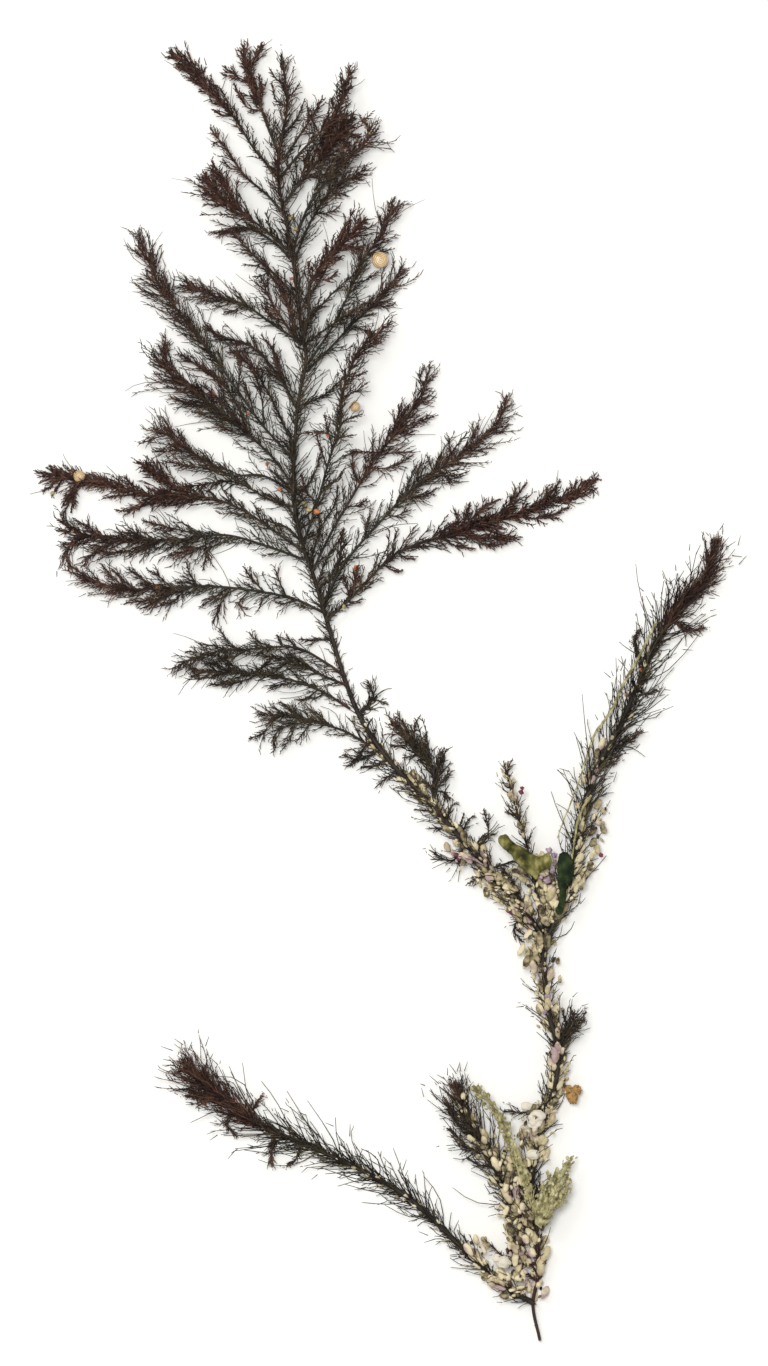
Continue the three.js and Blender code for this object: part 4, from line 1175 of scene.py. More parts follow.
@dataclass
class Frond:
    """A frond: its stem's route and heights, its half width along it and its side branches."""

    name: str
    route: list[Pixel]
    reach: list[float]
    levels: list[float]
    tone: Tone
    radius: float = 0.3
    tip_radius: float = 0.13
    radii: list[float] | None = None
    branches: list[Branch] = field(default_factory=list)
    narrow: float = 0.8
    branch_radius: float = 0.24
    branch_share: float = 0.75
    branch_tip: float = 0.11
    branch_step: float = 0.6
    branch_tone: float = 0.35
    join_gap: float = 1.5
    lowest: float = 0.3

    @property
    def habit(self) -> Habit:
        """How the frond is clothed."""
        return HABITS.get(self.name, Habit.FEATHERY)

    @property
    def slot(self) -> str:
        """The material slot of the frond's finish."""
        if self.habit is Habit.AXIS:
            return "alga_axis"
        return "alga_tip" if self.name in TIP_FRONDS else "alga_body"

    def stem(self) -> Line:
        """Samples the main stem.

        Returns:
            The sampled stem.
        """
        heights = level_at(self.levels, np.linspace(0, 1, len(self.route)))
        drawn = np.array([spot(pixel, z) for pixel, z in zip(self.route, heights)])
        points = smooth_route(drawn)
        share = np.linspace(0, 1, len(points))
        radii = self.radii or [self.radius, self.radius * self.narrow, self.tip_radius]
        reach = level_at(self.reach, share) * PIXEL
        return Line(points, level_at(radii, share), reach, tone_along(self.tone, share))

    def offshoot(self, stem: Line, branch: Branch) -> Line:
        """Samples a side branch that starts on the stem.

        Args:
            stem: the stem that carries it.
            branch: the side branch.

        Returns:
            The sampled branch.
        """
        first = spot(branch.route[0], 0.0)
        gaps = np.linalg.norm(stem.points[:, :2] - first[:2], axis=1)
        nearest = int(np.argmin(gaps))
        root = stem.points[nearest]
        last = len(branch.route) - 1
        drawn = [root]
        if gaps[nearest] > self.join_gap:
            drawn.append(np.array([first[0], first[1], root[2]]))
        drawn += [
            spot(pixel, max(root[2] + branch.rise * (i + 1) / last, self.lowest))
            for i, pixel in enumerate(branch.route[1:])
        ]
        points = smooth_route(np.array(drawn), self.branch_step)
        share = np.linspace(0, 1, len(points))
        start = min(float(stem.thick[nearest]) * self.branch_share, self.branch_radius)
        along = self.branch_tone + share * (1 - self.branch_tone)
        own = tone_along(self.tone, np.clip(along, 0, 1))
        tone = np.maximum(own, stem.tone[nearest])
        thick = level_at([start, self.branch_tip], share)
        return Line(points, thick, level_at(branch.reach, share) * PIXEL, tone)

    def lines(self, growth: Growth) -> list[Line]:
        """Samples the stem with all its side branches, narrower where they end.

        Args:
            growth: what grows on them, with the factors on the half widths.

        Returns:
            The sampled lines.
        """
        stem = self.stem()
        routes = self.branches + [Branch(places) for places in FINE_BRANCHES.get(self.name, [])]
        lines = [stem, *(self.offshoot(stem, branch) for branch in routes)]
        for line in lines:
            left = np.linalg.norm(line.points - line.points[-1], axis=1)
            ending = np.clip(growth.end_share + left / growth.end_run, 0.0, 1.0)
            line.reach = line.reach * growth.spread * ending
        return lines

    def build(
        self, tree: bpy.types.NodeTree, material: bpy.types.Material, seed: int
    ) -> bpy.types.Object:
        """Args:
            tree: the spray tree.
            material: the alga's finish.
            seed: seed of all that grows.

        Returns:
            The piece's object.
        """
        growth = GROWTHS[self.habit]
        lines = self.lines(growth)
        values: dict[str, object] = {"Seed": seed, "Material": material}
        for item in fields(growth):
            title = item.name.replace("_", " ").title()
            value = getattr(growth, item.name)
            values[title] = value * MM if title.endswith(LENGTH_NAMES) else value
        piece = grow(f"{self.name}_spray", lines, tree, values)
        declare(piece, self.slot, self.name)
        return piece


@dataclass
class Crust:
    """A knobbly crust on a stretch of a stem, from one drawn pixel to another."""

    name: str
    host: str
    start: Pixel
    end: Pixel
    girth: float
    seed: int = 1
    beside: list[list[Pixel]] = field(default_factory=list)
    pebbles: list[tuple[float, float, float]] = field(default_factory=list)
    knob: float = 0.74
    spacing: float = 0.58
    in_cad: bool = True
    height: float = 2.6

    def pebble_mesh(self, material: bpy.types.Material) -> bpy.types.Object:
        """Makes the large pale knobs that sit on top of the crust.

        Args:
            material: the crust's finish.

        Returns:
            The knobs as one object.
        """
        work = bmesh.new()
        layer = work.verts.layers.float.new("shade")
        for column, row, size in self.pebbles:
            centre = Vector(spot((column, row), self.height + PEBBLE_LIFT).tolist())
            made = bmesh.ops.create_icosphere(work, subdivisions=4, radius=size)
            for vert in made["verts"]:
                bumpy = 1 + PEBBLE_BUMP * noise.noise(vert.co * (PEBBLE_GRAIN / size) + centre)
                x, y, z = vert.co * bumpy
                vert.co = centre + Vector((x, y * PEBBLE_DEPTH, z * PEBBLE_HEIGHT))
                vert[layer] = PEBBLE_SHADE
        return mesh_piece(f"{self.name}_pebbles", work, material)

    def beside_line(self, route: list[Pixel]) -> Line:
        """Samples a route beside the stem that the crust spreads to.

        Args:
            route: the drawn route.

        Returns:
            The sampled line.
        """
        points = smooth_route(np.array([spot(pixel, self.height) for pixel in route]), 0.5)
        flat = np.zeros(len(points))
        return Line(points, flat, flat, flat)

    def build(
        self, hosts: dict[str, Line], tree: bpy.types.NodeTree, material: bpy.types.Material
    ) -> bpy.types.Object:
        """Args:
            hosts: the sampled main stems by name.
            tree: the crust tree.
            material: the crust's finish.

        Returns:
            The piece's object.
        """
        host = hosts[self.host]
        near = [
            int(np.argmin(np.linalg.norm(host.points[:, :2] - spot(pixel, 0.0)[:2], axis=1)))
            for pixel in (self.start, self.end)
        ]
        low, high = min(near), max(near)
        part = slice(low, high + 1)
        line = Line(host.points[part], host.thick[part], host.reach[part], host.tone[part])
        values: dict[str, object] = {
            "Girth": self.girth * MM,
            "Knob Size": self.knob * MM,
            "Knob Spacing": self.spacing * MM,
            "Seed": self.seed,
            "Material": material,
        }
        lines = [line, *(self.beside_line(route) for route in self.beside)]
        piece = grow(f"{self.name}_knobs", lines, tree, values)
        if self.pebbles:
            absorb(piece, self.pebble_mesh(material))
        declare(piece, "crust", *([self.name] if self.in_cad else []))
        return piece


@dataclass
class Blade:
    """A thin waved blade drawn as an outline."""

    name: str
    outline: list[Pixel]
    height: float
    finish: BladeFinish
    slot: str
    thickness: float = 0.28
    wave: float = 0.3
    wave_scale: float = 0.55
    wave_height: float = 2.2
    lift: float = 0.35
    edge_step: float = 0.35
    longest_edge: float = 0.4
    rounds: int = 3
    rag: float = 0.22
    rag_scale: float = 1.3

    def build(self) -> bpy.types.Object:
        """Returns:
            The piece's object.
        """
        closed = np.array([spot(pixel, self.height) for pixel in [*self.outline, self.outline[0]]])
        edge = smooth_route(closed, self.edge_step)[:-1]
        work = bmesh.new()
        corners = [work.verts.new(self.ruffled(point)) for point in edge]
        rim = [work.edges.new((corners[i - 1], corners[i])) for i in range(len(corners))]
        bmesh.ops.triangle_fill(work, use_beauty=True, edges=rim)
        for _ in range(self.rounds):
            long = [e for e in work.edges if e.calc_length() > self.longest_edge]
            bmesh.ops.subdivide_edges(work, edges=long, cuts=1)
            bmesh.ops.triangulate(work, faces=work.faces)
        for vert in work.verts:
            place = Vector((vert.co.x * self.wave_scale, vert.co.y * self.wave_scale, 3.0))
            wave = self.wave * noise.noise(place) * self.wave_height
            vert.co.z = self.height + self.lift + wave
        bmesh.ops.solidify(work, geom=work.faces[:], thickness=self.thickness)
        piece = mesh_piece(f"{self.name}_leaf", work, self.finish.material())
        declare(piece, self.slot, self.name)
        return piece

    def ruffled(self, point: np.ndarray) -> Vector:
        """Moves a point of the rim a little, so that the rim is ragged.

        Args:
            point: the point in millimetres.

        Returns:
            Its new place.
        """
        place = Vector(point.tolist())
        shift = noise.noise_vector(place * self.rag_scale) * self.rag
        return Vector((place.x + shift.x, place.y + shift.y, place.z))


@dataclass
class Strand:
    """Soft threads that follow one or more drawn routes."""

    name: str
    routes: list[tuple[list[Pixel], list[float]]]
    threads: int
    spread: float
    thick: float
    wave: float = 0.4
    seed: int = 5
    step: float = 0.5
    knobbly: bool = False
    knob_girth: float = 1.2
    knob: float = 0.44
    knob_spacing: float = 0.34

    def build(
        self, tree: bpy.types.NodeTree, knobs: bpy.types.NodeTree, material: bpy.types.Material
    ) -> bpy.types.Object:
        """Args:
            tree: the thread tree.
            knobs: the crust tree, for the mass that is knobbly.
            material: the threads' finish.

        Returns:
            The piece's object.
        """
        draw = random.Random(self.seed)
        lines = []
        for route, levels in self.routes:
            heights = level_at(levels, np.linspace(0, 1, len(route)))
            drawn = np.array([spot(pixel, z) for pixel, z in zip(route, heights)])
            path = smooth_route(drawn, self.step)
            for i in range(self.threads):
                lines.append(self.wisp(path, draw, 0.0 if i == 0 else self.spread))
        values: dict[str, object] = {"Wave": self.wave * MM, "Material": material}
        piece = grow(f"{self.name}_threads", lines, tree, values)
        if self.knobbly:
            values = {
                "Girth": self.knob_girth * MM,
                "Knob Size": self.knob * MM,
                "Knob Spacing": self.knob_spacing * MM,
                "Seed": self.seed,
                "Material": material,
            }
            mains = [line for i, line in enumerate(lines) if i % self.threads == 0]
            absorb(piece, grow(f"{self.name}_knobs", mains, knobs, values))
        declare(piece, "thread", self.name)
        return piece

    @staticmethod
    def stray(draw: random.Random) -> np.ndarray:
        """Draws a direction to stray in, flatter than it is wide."""
        return np.array([draw.uniform(-1, 1), draw.uniform(-1, 1), draw.uniform(-0.5, 0.6)])

    def wisp(self, path: np.ndarray, draw: random.Random, spread: float) -> Line:
        """Makes one thread beside a path.

        Args:
            path: the sampled path.
            draw: the seeded draw.
            spread: how far the thread strays.

        Returns:
            The thread's line.
        """
        start = draw.uniform(*THREAD_START) if spread else 0.0
        end = draw.uniform(*THREAD_END) if spread else 1.0
        part = path[int(start * len(path)) : max(int(end * len(path)), int(start * len(path)) + 4)]
        share = np.linspace(0, 1, len(part))[:, None]
        ends = [self.stray(draw) for _ in range(3)]
        sway = (1 - share) * ends[0] + share * ends[1] + np.sin(share * THREAD_SWING) * ends[2]
        points = part + sway * spread
        thick = level_at([self.thick, self.thick * 0.9, self.thick * 0.4], share[:, 0])
        if spread:
            thick = thick * draw.uniform(*THREAD_THINNESS)
        flat = np.zeros(len(part))
        return Line(points, thick, flat, flat)


@dataclass
class Shell:
    """A small domed shell with growth rings."""

    name: str
    pixel: Pixel
    height: float
    radius: float
    rise: float
    rings: int = 16
    sides: int = 48
    tilt: float = 0.12
    wobble: float = 0.03
    lobes: int = 3
    dome: float = 2.2
    ripple: float = 0.02
    ripples: float = 30

    def build(self, material: bpy.types.Material) -> bpy.types.Object:
        """Args:
            material: the shell's finish.

        Returns:
            The piece's object.
        """
        centre = spot(self.pixel, self.height)
        work = bmesh.new()
        ring_layer = work.verts.layers.float.new("ring")
        top = work.verts.new((centre[0] + self.tilt * self.radius, centre[1], centre[2] + self.rise))
        rows: list[list[bmesh.types.BMVert]] = []
        for r in range(1, self.rings + 1):
            share = r / self.rings
            row = []
            for s in range(self.sides):
                angle = math.tau * s / self.sides
                wide = self.radius * share * (1 + self.wobble * math.sin(angle * self.lobes + 1))
                off = self.tilt * self.radius * (1 - share)
                ripple = self.ripple * math.sin(share * self.ripples)
                lift = self.rise * math.sqrt(max(0.0, 1 - share**self.dome)) + ripple
                x = centre[0] + off + wide * math.cos(angle)
                vert = work.verts.new((x, centre[1] + wide * math.sin(angle), centre[2] + lift))
                vert[ring_layer] = share
                row.append(vert)
            rows.append(row)
        bottom = work.verts.new((centre[0], centre[1], centre[2]))
        for s in range(self.sides):
            n = (s + 1) % self.sides
            work.faces.new((top, rows[0][s], rows[0][n]))
            for r in range(self.rings - 1):
                work.faces.new((rows[r][s], rows[r + 1][s], rows[r + 1][n], rows[r][n]))
            work.faces.new((rows[-1][n], rows[-1][s], bottom))
        piece = mesh_piece(f"{self.name}_dome", work, material)
        declare(piece, "shell", self.name)
        return piece


@dataclass
class Sponge:
    """A lump of sponge made of a few rounded lobes."""

    lumps: list[Pixel]
    radius: float = 1.25
    height: float = 2.2
    scale: float = 2.1
    pits: tuple[float, float] = (4.2, 0.5)
    bulges: tuple[float, float] = (1.6, 0.7)
    body: float = 0.8
    relief: float = 0.45

    def build(self) -> bpy.types.Object:
        """Returns:
            The piece's object.
        """
        work = bmesh.new()
        for i, pixel in enumerate(self.lumps):
            made = bmesh.ops.create_icosphere(work, subdivisions=4, radius=self.radius)
            centre = Vector(spot(pixel, self.height).tolist())
            for vert in made["verts"]:
                way = vert.co.normalized()
                place = way * self.scale + Vector((i * 4.0, 0, 0))
                pits = noise.noise(place * self.pits[0]) * self.pits[1]
                pits += noise.noise(place * self.bulges[0]) * self.bulges[1]
                vert.co = centre + way * self.radius * (self.body + pits * self.relief)
        piece = mesh_piece("sponge_lobes", work, SpongeFinish().material())
        declare(piece, "sponge", "sponge_lump")
        return piece


@dataclass
class Grains:
    """Tiny grains of one colour on top of the fronds."""

    name: str
    places: list[tuple[float, float, float]]
    finish: FleckFinish
    lift: float = 0.45
    seed: int = 9
    bump: float = 0.45
    grain: float = 1.3
    flatness: float = 0.6
    widths: tuple[float, float] = (0.8, 1.4)

    def build(self, hosts: dict[str, Line]) -> bpy.types.Object:
        """Args:
            hosts: the sampled main stems by name.

        Returns:
            The piece's object.
        """
        draw = random.Random(self.seed)
        everything = np.vstack([line.points for line in hosts.values()])
        work = bmesh.new()
        for column, row, size in self.places:
            centre = spot((column, row), 0.0)
            gaps = np.linalg.norm(everything[:, :2] - centre[:2], axis=1)
            height = float(everything[int(np.argmin(gaps))][2]) + self.lift
            made = bmesh.ops.create_icosphere(work, subdivisions=3, radius=size)
            wide = draw.uniform(*self.widths)
            for vert in made["verts"]:
                place = vert.co * (self.grain / size) + Vector((column, row, 0))
                bumpy = 1 + self.bump * noise.noise(place)
                x, y, z = vert.co * bumpy
                vert.co = Vector((centre[0] + x * wide, centre[1] + y, height + z * self.flatness))
        piece = mesh_piece(self.name, work, self.finish.material())
        declare(piece, "shell")
        return piece


@dataclass
class Studio:
    """The pale floor, the soft light and the camera straight above."""

    centre: Pixel = (384.0, 683.0)
    frame_height: float = 1366.0
    lens: float = 200.0
    sensor: float = 36.0
    sky: float = 0.5
    lamp_power: float = 10.5
    side_share: float = 0.25
    lamp_size: float = 0.5
    key_place: tuple[float, float, float] = (-0.16, 0.22, 1.3)
    side_place: tuple[float, float, float] = (-0.7, 0.6, 0.9)
    floor_size: float = 1500.0
    focus: float = 3.0

    def build(self) -> None:
        """Makes the floor, the lamps, the sky and the camera."""
        self.floor()
        self.lamp("key lamp", self.key_place, self.lamp_power)
        self.lamp("side lamp", self.side_place, self.lamp_power * self.side_share)
        world = bpy.data.worlds.new("soft sky")
        world.use_nodes = True
        background = world.node_tree.nodes["Background"]
        background.inputs["Color"].default_value = (1.0, 1.0, 1.0, 1.0)
        background.inputs["Strength"].default_value = self.sky
        bpy.context.scene.world = world
        bpy.context.scene.view_settings.view_transform = "Standard"
        self.camera()

    def floor(self) -> None:
        """Makes the pale sheet under the alga."""
        work = bmesh.new()
        bmesh.ops.create_grid(work, x_segments=2, y_segments=2, size=self.floor_size)
        sheet = mesh_piece("floor", work, FloorFinish().material())

    def lamp(self, name: str, place: tuple[float, float, float], power: float) -> None:
        """Hangs a broad lamp that points at the middle.

        Args:
            name: the lamp's name.
            place: where it hangs, in metres.
            power: its power in watts.
        """
        data = bpy.data.lights.new(name, "AREA")
        data.shape = "DISK"
        data.size = self.lamp_size
        data.energy = power
        lamp = bpy.data.objects.new(name, data)
        lamp.location = place
        lamp.rotation_euler = (-Vector(place)).to_track_quat("-Z", "Y").to_euler()
        bpy.context.scene.collection.objects.link(lamp)

    def camera(self) -> None:
        """Hangs the camera straight above, with the drawn frame filling its height."""
        data = bpy.data.cameras.new("camera")
        data.lens = self.lens
        data.sensor_fit = "VERTICAL"
        data.sensor_height = self.sensor
        data.sensor_width = self.sensor
        middle = spot(self.centre, self.focus)
        away = self.frame_height * PIXEL * self.lens / self.sensor
        camera = bpy.data.objects.new("camera", data)
        camera.location = Vector((middle[0] * MM, middle[1] * MM, (middle[2] + away) * MM))
        bpy.context.scene.collection.objects.link(camera)
        bpy.context.scene.camera = camera


AXIS = Frond(
    "main_axis",
    [
        (540, 1341), (533, 1305), (538, 1276), (537, 1240), (532, 1192), (538, 1138), (552, 1096),
        (559, 1053), (549, 1014), (543, 960), (541, 935), (522, 911), (485, 865), (451, 827),
        (424, 797), (388, 759), (361, 719), (347, 686), (331, 635), (314, 578), (299, 532),
        (294, 486), (295, 440), (299, 397), (306, 360), (300, 318), (291, 248), (278, 170),
        (287, 104), (281, 55),
    ],
    reach=[
        0.5, 1, 10, 11, 12, 11, 11, 10, 9, 10, 11, 13, 13, 10, 4, 5, 7, 9, 10, 11, 12, 12, 12,
        11, 10, 9, 8, 7,
    ],
    levels=[1.2, 1.5, 2, 2.1, 2.1, 2.1, 2.1, 2, 1.7, 1.2, 0.6, 0.6, 1.6, 2.8, 3.6, 3.8, 3.8, 3.8, 3.4],
    tone=Tone.PLAIN,
    radii=[0.35, 0.45, 0.6, 0.65, 0.65, 0.65, 0.62, 0.56, 0.48, 0.42, 0.38, 0.36, 0.34, 0.3, 0.2],
    branches=[
        Branch((284, 86, 277, 80, 270, 70), [3, 4, 3], 1),
        Branch((287, 108, 276, 100, 272, 84), [3, 4, 3], -1),
        Branch((286, 138, 295, 122, 304, 101), [3, 4, 3], -2),
        Branch((296, 506, 270, 500, 235, 482, 182, 487), [4, 7, 6], -2.4),
        Branch((294, 448, 272, 400, 253, 369, 230, 349), [4, 7, 6], -2.2),
        Branch((299, 407, 327, 393, 345, 375), [4, 6, 5], -2),
        Branch((323, 610, 338, 565, 341, 542, 343, 529), [6, 8, 6], -2),
        Branch((332, 640, 311, 640, 300, 639), [3, 5, 4], 1),
        Branch((382, 752, 360, 760, 343, 755), [4, 6, 5], 0.5),
        Branch((359, 716, 373, 697, 368, 682), [5, 9, 8], 1),
        Branch((466, 842, 452, 861, 436, 855), [5, 9, 9], -0.5),
        Branch((473, 852, 488, 834, 484, 811), [3, 5, 5], 1),
        Branch((524, 914, 514, 930, 522, 941), [4, 6, 6], 0.6),
        Branch((557, 1052, 564, 1036, 574, 1012), [7, 11, 9], 1.4),
        Branch((549, 1102, 530, 1112, 504, 1112), [3, 5, 5], -0.8),
        Branch((536, 1264, 512, 1262, 487, 1242), [3, 4, 4], 1.6),
    ],
)
FRONDS = [
    Frond(
        "top_frond",
        [(278, 152), (268, 128), (257, 97), (247, 70), (243, 47)],
        reach=[5, 7, 8], levels=[3.6, 2.4, 1.8], tone=Tone.TIP,
        branches=[
            Branch((249, 72, 257, 53, 261, 44), [5, 6, 5], 0.4),
            Branch((252, 84, 240, 78, 223, 66), [3, 5, 4], -0.4),
            Branch((262, 112, 247, 107, 234, 84), [3, 4, 3], -0.4),
        ],
    ),
    Frond(
        "left_frond_top",
        [(277, 176), (254, 149), (235, 119), (218, 100), (200, 77), (172, 52)],
        reach=[4, 5, 9, 12, 8], levels=[3.6, 4.4, 3.2, 1.2, 0.6], tone=Tone.TIP,
    ),
    Frond(
        "left_frond_thin",
        [(282, 212), (267, 195), (245, 176), (229, 153), (210, 128)],
        reach=[3, 4, 5], levels=[3.8, 3.2, 2.6], tone=Tone.TIP,
    ),
    Frond(
        "left_frond_clump",
        [(287, 250), (267, 232), (241, 212), (215, 191), (206, 178)],
        reach=[5, 10, 15, 15, 10], levels=[3.8, 4.6, 3.4], tone=Tone.TIP,
        branches=[
            Branch((243, 214, 226, 186, 214, 166), [8, 8, 5], 1.6),
        ],
    ),
    Frond(
        "left_frond_under_clump",
        [(290, 258), (271, 240), (245, 227), (215, 233)],
        reach=[4, 6, 6], levels=[3.4, 1.6, 1], tone=Tone.MIDDLE,
    ),
    Frond(
        "left_frond_short",
        [(296, 298), (275, 275), (255, 257), (231, 232)],
        reach=[4, 6, 5], levels=[3.8, 4.4, 4], tone=Tone.MIDDLE,
    ),
    Frond(
        "left_frond_inner",
        [(301, 346), (284, 322), (268, 296), (263, 280)],
        reach=[5, 8, 7], levels=[4.4, 5.8, 5.6], tone=Tone.TIP,
    ),
    Frond(
        "left_frond_arch",
        [(302, 343), (277, 327), (243, 304), (212, 295), (181, 285)],
        reach=[5, 7, 9, 9], levels=[3.4, 2, 1.6, 1.4], tone=Tone.MIDDLE,
    ),
    Frond(
        "left_frond_slim",
        [(298, 412), (282, 381), (252, 347), (222, 337), (204, 326)],
        reach=[4, 6, 6], levels=[3.8, 2.6, 1.6], tone=Tone.MIDDLE,
    ),
    Frond(
        "left_frond_long",
        [(294, 460), (263, 426), (237, 390), (209, 351), (181, 315), (157, 281), (138, 233)],
        reach=[5, 7, 9, 12, 12, 6], levels=[4, 5.4, 5, 4, 3, 1.2], tone=Tone.MIDDLE,
    ),
    Frond(
        "left_frond_broad",
        [(296, 490), (271, 456), (232, 421), (195, 392), (169, 371), (162, 350)],
        reach=[6, 10, 16, 15, 9], levels=[3.8, 2.6, 2, 1.6], tone=Tone.MIDDLE,
        branches=[
            Branch((212, 406, 194, 404, 172, 398), [5, 6, 4], -0.6),
            Branch((250, 437, 229, 392, 206, 372, 178, 353), [7, 8, 6], -0.3),
        ],
    ),
    Frond(
        "left_frond_forked",
        [(295, 494), (263, 476), (230, 475), (201, 458), (173, 439), (154, 428)],
        reach=[4, 6, 9, 9], levels=[3.8, 4.6, 4.6, 3.6], tone=Tone.MIDDLE,
        branches=[
            Branch((206, 462, 185, 452, 154, 452), [4, 6, 5], -1),
            Branch((222, 474, 190, 466, 166, 462), [4, 5, 4], -1.4),
        ],
    ),
    Frond(
        "left_frond_longest",
        [(304, 552), (274, 531), (242, 510), (210, 498), (154, 497), (100, 482), (45, 474)],
        reach=[5, 8, 12, 10, 9, 11, 11], levels=[3.8, 3, 2.6, 2.2, 1.6, 0.8], tone=Tone.TIP,
        branches=[
            Branch((204, 497, 181, 489, 157, 474, 138, 462), [8, 12, 6], 1.4),
            Branch((165, 497, 134, 509, 117, 511), [4, 5, 4], 0.6),
            Branch((78, 479, 70, 500, 63, 514), [4, 5, 4], 0.4),
        ],
    ),
    Frond(
        "left_frond_wide",
        [(305, 560), (272, 548), (225, 535), (181, 539), (121, 539), (60, 530)],
        reach=[5, 8, 10, 10, 10, 9], levels=[3.6, 2.4, 1.6, 0.8, 0.6], tone=Tone.MIDDLE,
        branches=[
            Branch((205, 536, 188, 532, 143, 521), [4, 5, 4], 1.2),
            Branch((222, 536, 201, 547, 170, 556), [5, 8, 6], 1.4),
            Branch((158, 540, 121, 552, 93, 553, 83, 566), [4, 6, 5], 1.4),
            Branch((82, 534, 68, 549, 68, 570), [5, 6, 4], 0.8),
        ],
    ),
    Frond(
        "left_frond_low",
        [(324, 613), (297, 600), (256, 591), (206, 586), (134, 589), (99, 583), (72, 567)],
        reach=[5, 7, 8, 8, 7, 6], levels=[3, 2.4, 1.6, 1.4, 1.8, 2.4], tone=Tone.MIDDLE,
        branches=[
            Branch((265, 593, 253, 580, 246, 571), [5, 7, 5], 0.6),
            Branch((232, 588, 224, 598, 213, 621), [4, 5, 4], 0.4),
            Branch((198, 586, 190, 574, 186, 562), [3, 5, 3], 0.6),
            Branch((190, 586, 161, 598, 126, 603), [4, 5, 4], -0.4),
            Branch((273, 594, 263, 599, 259, 609), [3, 5, 4], 0.4),
            Branch((128, 589, 113, 578, 102, 565), [3, 5, 4], 0.6),
        ],
    ),
    Frond(
        "lower_left_frond_upper",
        [(345, 676), (326, 663), (297, 648), (252, 649), (206, 654), (171, 669)],
        reach=[4, 6, 7, 7, 5], levels=[1.2, 2, 3, 3.2, 2.4], tone=Tone.PLAIN,
        branches=[
            Branch((240, 650, 227, 640, 219, 629), [3, 4, 3], 0.4),
            Branch((270, 648, 257, 641, 250, 633), [3, 4, 3], 0.4),
        ],
    ),
    Frond(
        "lower_left_frond_middle",
        [(346, 685), (326, 677), (298, 664), (264, 655)],
        reach=[4, 7, 7, 5], levels=[1, 1, 1.2, 1.2], tone=Tone.PLAIN,
    ),
    Frond(
        "lower_left_frond_lower",
        [(350, 709), (323, 692), (301, 683), (260, 674), (217, 672), (190, 669)],
        reach=[4, 7, 8, 8, 6], levels=[0.9, 1.4, 1.8, 1.4, 0.8], tone=Tone.PLAIN,
        branches=[
            Branch((262, 674, 236, 683, 210, 685), [3, 5, 4], 0.4),
            Branch((318, 690, 305, 699, 296, 700), [3, 4, 4], 0.3),
        ],
    ),
    Frond(
        "lowest_left_frond",
        [(370, 746), (344, 731), (318, 723), (291, 716), (260, 715)],
        reach=[5, 8, 9, 7], levels=[1.4, 2, 2, 1.4], tone=Tone.PLAIN,
        branches=[
            Branch((312, 722, 286, 727, 275, 735, 274, 751), [4, 6, 4], 0.4),
            Branch((298, 717, 288, 708, 280, 702), [3, 4, 3], 0.4),
        ],
    ),
    Frond(
        "right_frond_top_small",
        [(283, 160), (301, 134), (314, 114), (322, 99)],
        reach=[3, 5, 5], levels=[3.8, 4.6, 4.6], tone=Tone.TIP,
    ),
    Frond(
        "right_frond_top",
        [(280, 178), (299, 155), (323, 130), (337, 112), (344, 92), (350, 68)],
        reach=[4, 6, 7, 8, 6], levels=[3.8, 5.6, 6, 5, 3.6], tone=Tone.TIP,
    ),
    Frond(
        "right_frond_clump",
        [(284, 203), (312, 168), (335, 140), (350, 119)],
        reach=[8, 16, 18, 12], levels=[3.6, 2.6, 2.2], tone=Tone.TIP,
        branches=[
            Branch((334, 142, 348, 134, 358, 136), [7, 7, 5], 0.6),
        ],
    ),
    Frond(
        "right_frond_outer",
        [(293, 252), (303, 219), (319, 191), (344, 163), (377, 131)],
        reach=[5, 8, 9, 7], levels=[3.8, 5.2, 5.4, 4], tone=Tone.MIDDLE,
    ),
    Frond(
        "right_frond_inner",
        [(294, 262), (309, 225), (330, 192), (364, 169)],
        reach=[5, 8, 9, 6], levels=[3.6, 2.6, 2, 1.2], tone=Tone.MIDDLE,
    ),
    Frond(
        "right_frond_dense",
        [(303, 345), (309, 312), (309, 288), (335, 251), (364, 221)],
        reach=[5, 7, 10, 12, 11], levels=[4.4, 5.8, 5.8, 5], tone=Tone.TIP,
    ),
    Frond(
        "right_frond_amber",
        [(307, 365), (330, 331), (346, 300), (362, 262), (383, 231), (393, 200)],
        reach=[5, 7, 8, 9, 7], levels=[4, 4, 3.4, 2.6, 2.2], tone=Tone.MIDDLE,
        branches=[
            Branch((366, 254, 380, 252, 392, 249), [3, 4, 3], 0),
        ],
    ),
    Frond(
        "right_frond_spread",
        [(306, 372), (332, 346), (353, 323), (381, 297), (402, 267)],
        reach=[5, 8, 9, 7], levels=[3.6, 2.2, 1.4, 1], tone=Tone.MIDDLE,
    ),
    Frond(
        "right_frond_upright",
        [(303, 545), (318, 501), (329, 461), (340, 427), (343, 390), (361, 350), (390, 323)],
        reach=[5, 8, 8, 8, 8, 6], levels=[3.8, 5.2, 5.6, 5.6, 5, 3.6], tone=Tone.MIDDLE,
        branches=[
            Branch((342, 399, 357, 391, 366, 384), [3, 4, 3], 0.4),
            Branch((341, 424, 351, 418, 361, 415), [3, 4, 3], 0.4),
            Branch((333, 450, 327, 427, 325, 415), [3, 5, 4], 0.4),
        ],
    ),
    Frond(
        "right_frond_knobbly",
        [(312, 572), (332, 531), (352, 497), (375, 459), (398, 430), (421, 394), (430, 367)],
        reach=[6, 7, 8, 8, 8, 6], levels=[3.6, 3, 2.4, 1.8, 1.6, 1.6], tone=Tone.TIP,
        branches=[
            Branch((396, 433, 411, 424, 434, 416), [3, 4, 3], 0.2),
            Branch((392, 438, 397, 420, 401, 403), [3, 4, 3], 0.2),
            Branch((378, 456, 391, 453, 413, 452), [3, 4, 3], 0),
            Branch((370, 467, 392, 467, 412, 455), [3, 4, 3], -0.4),
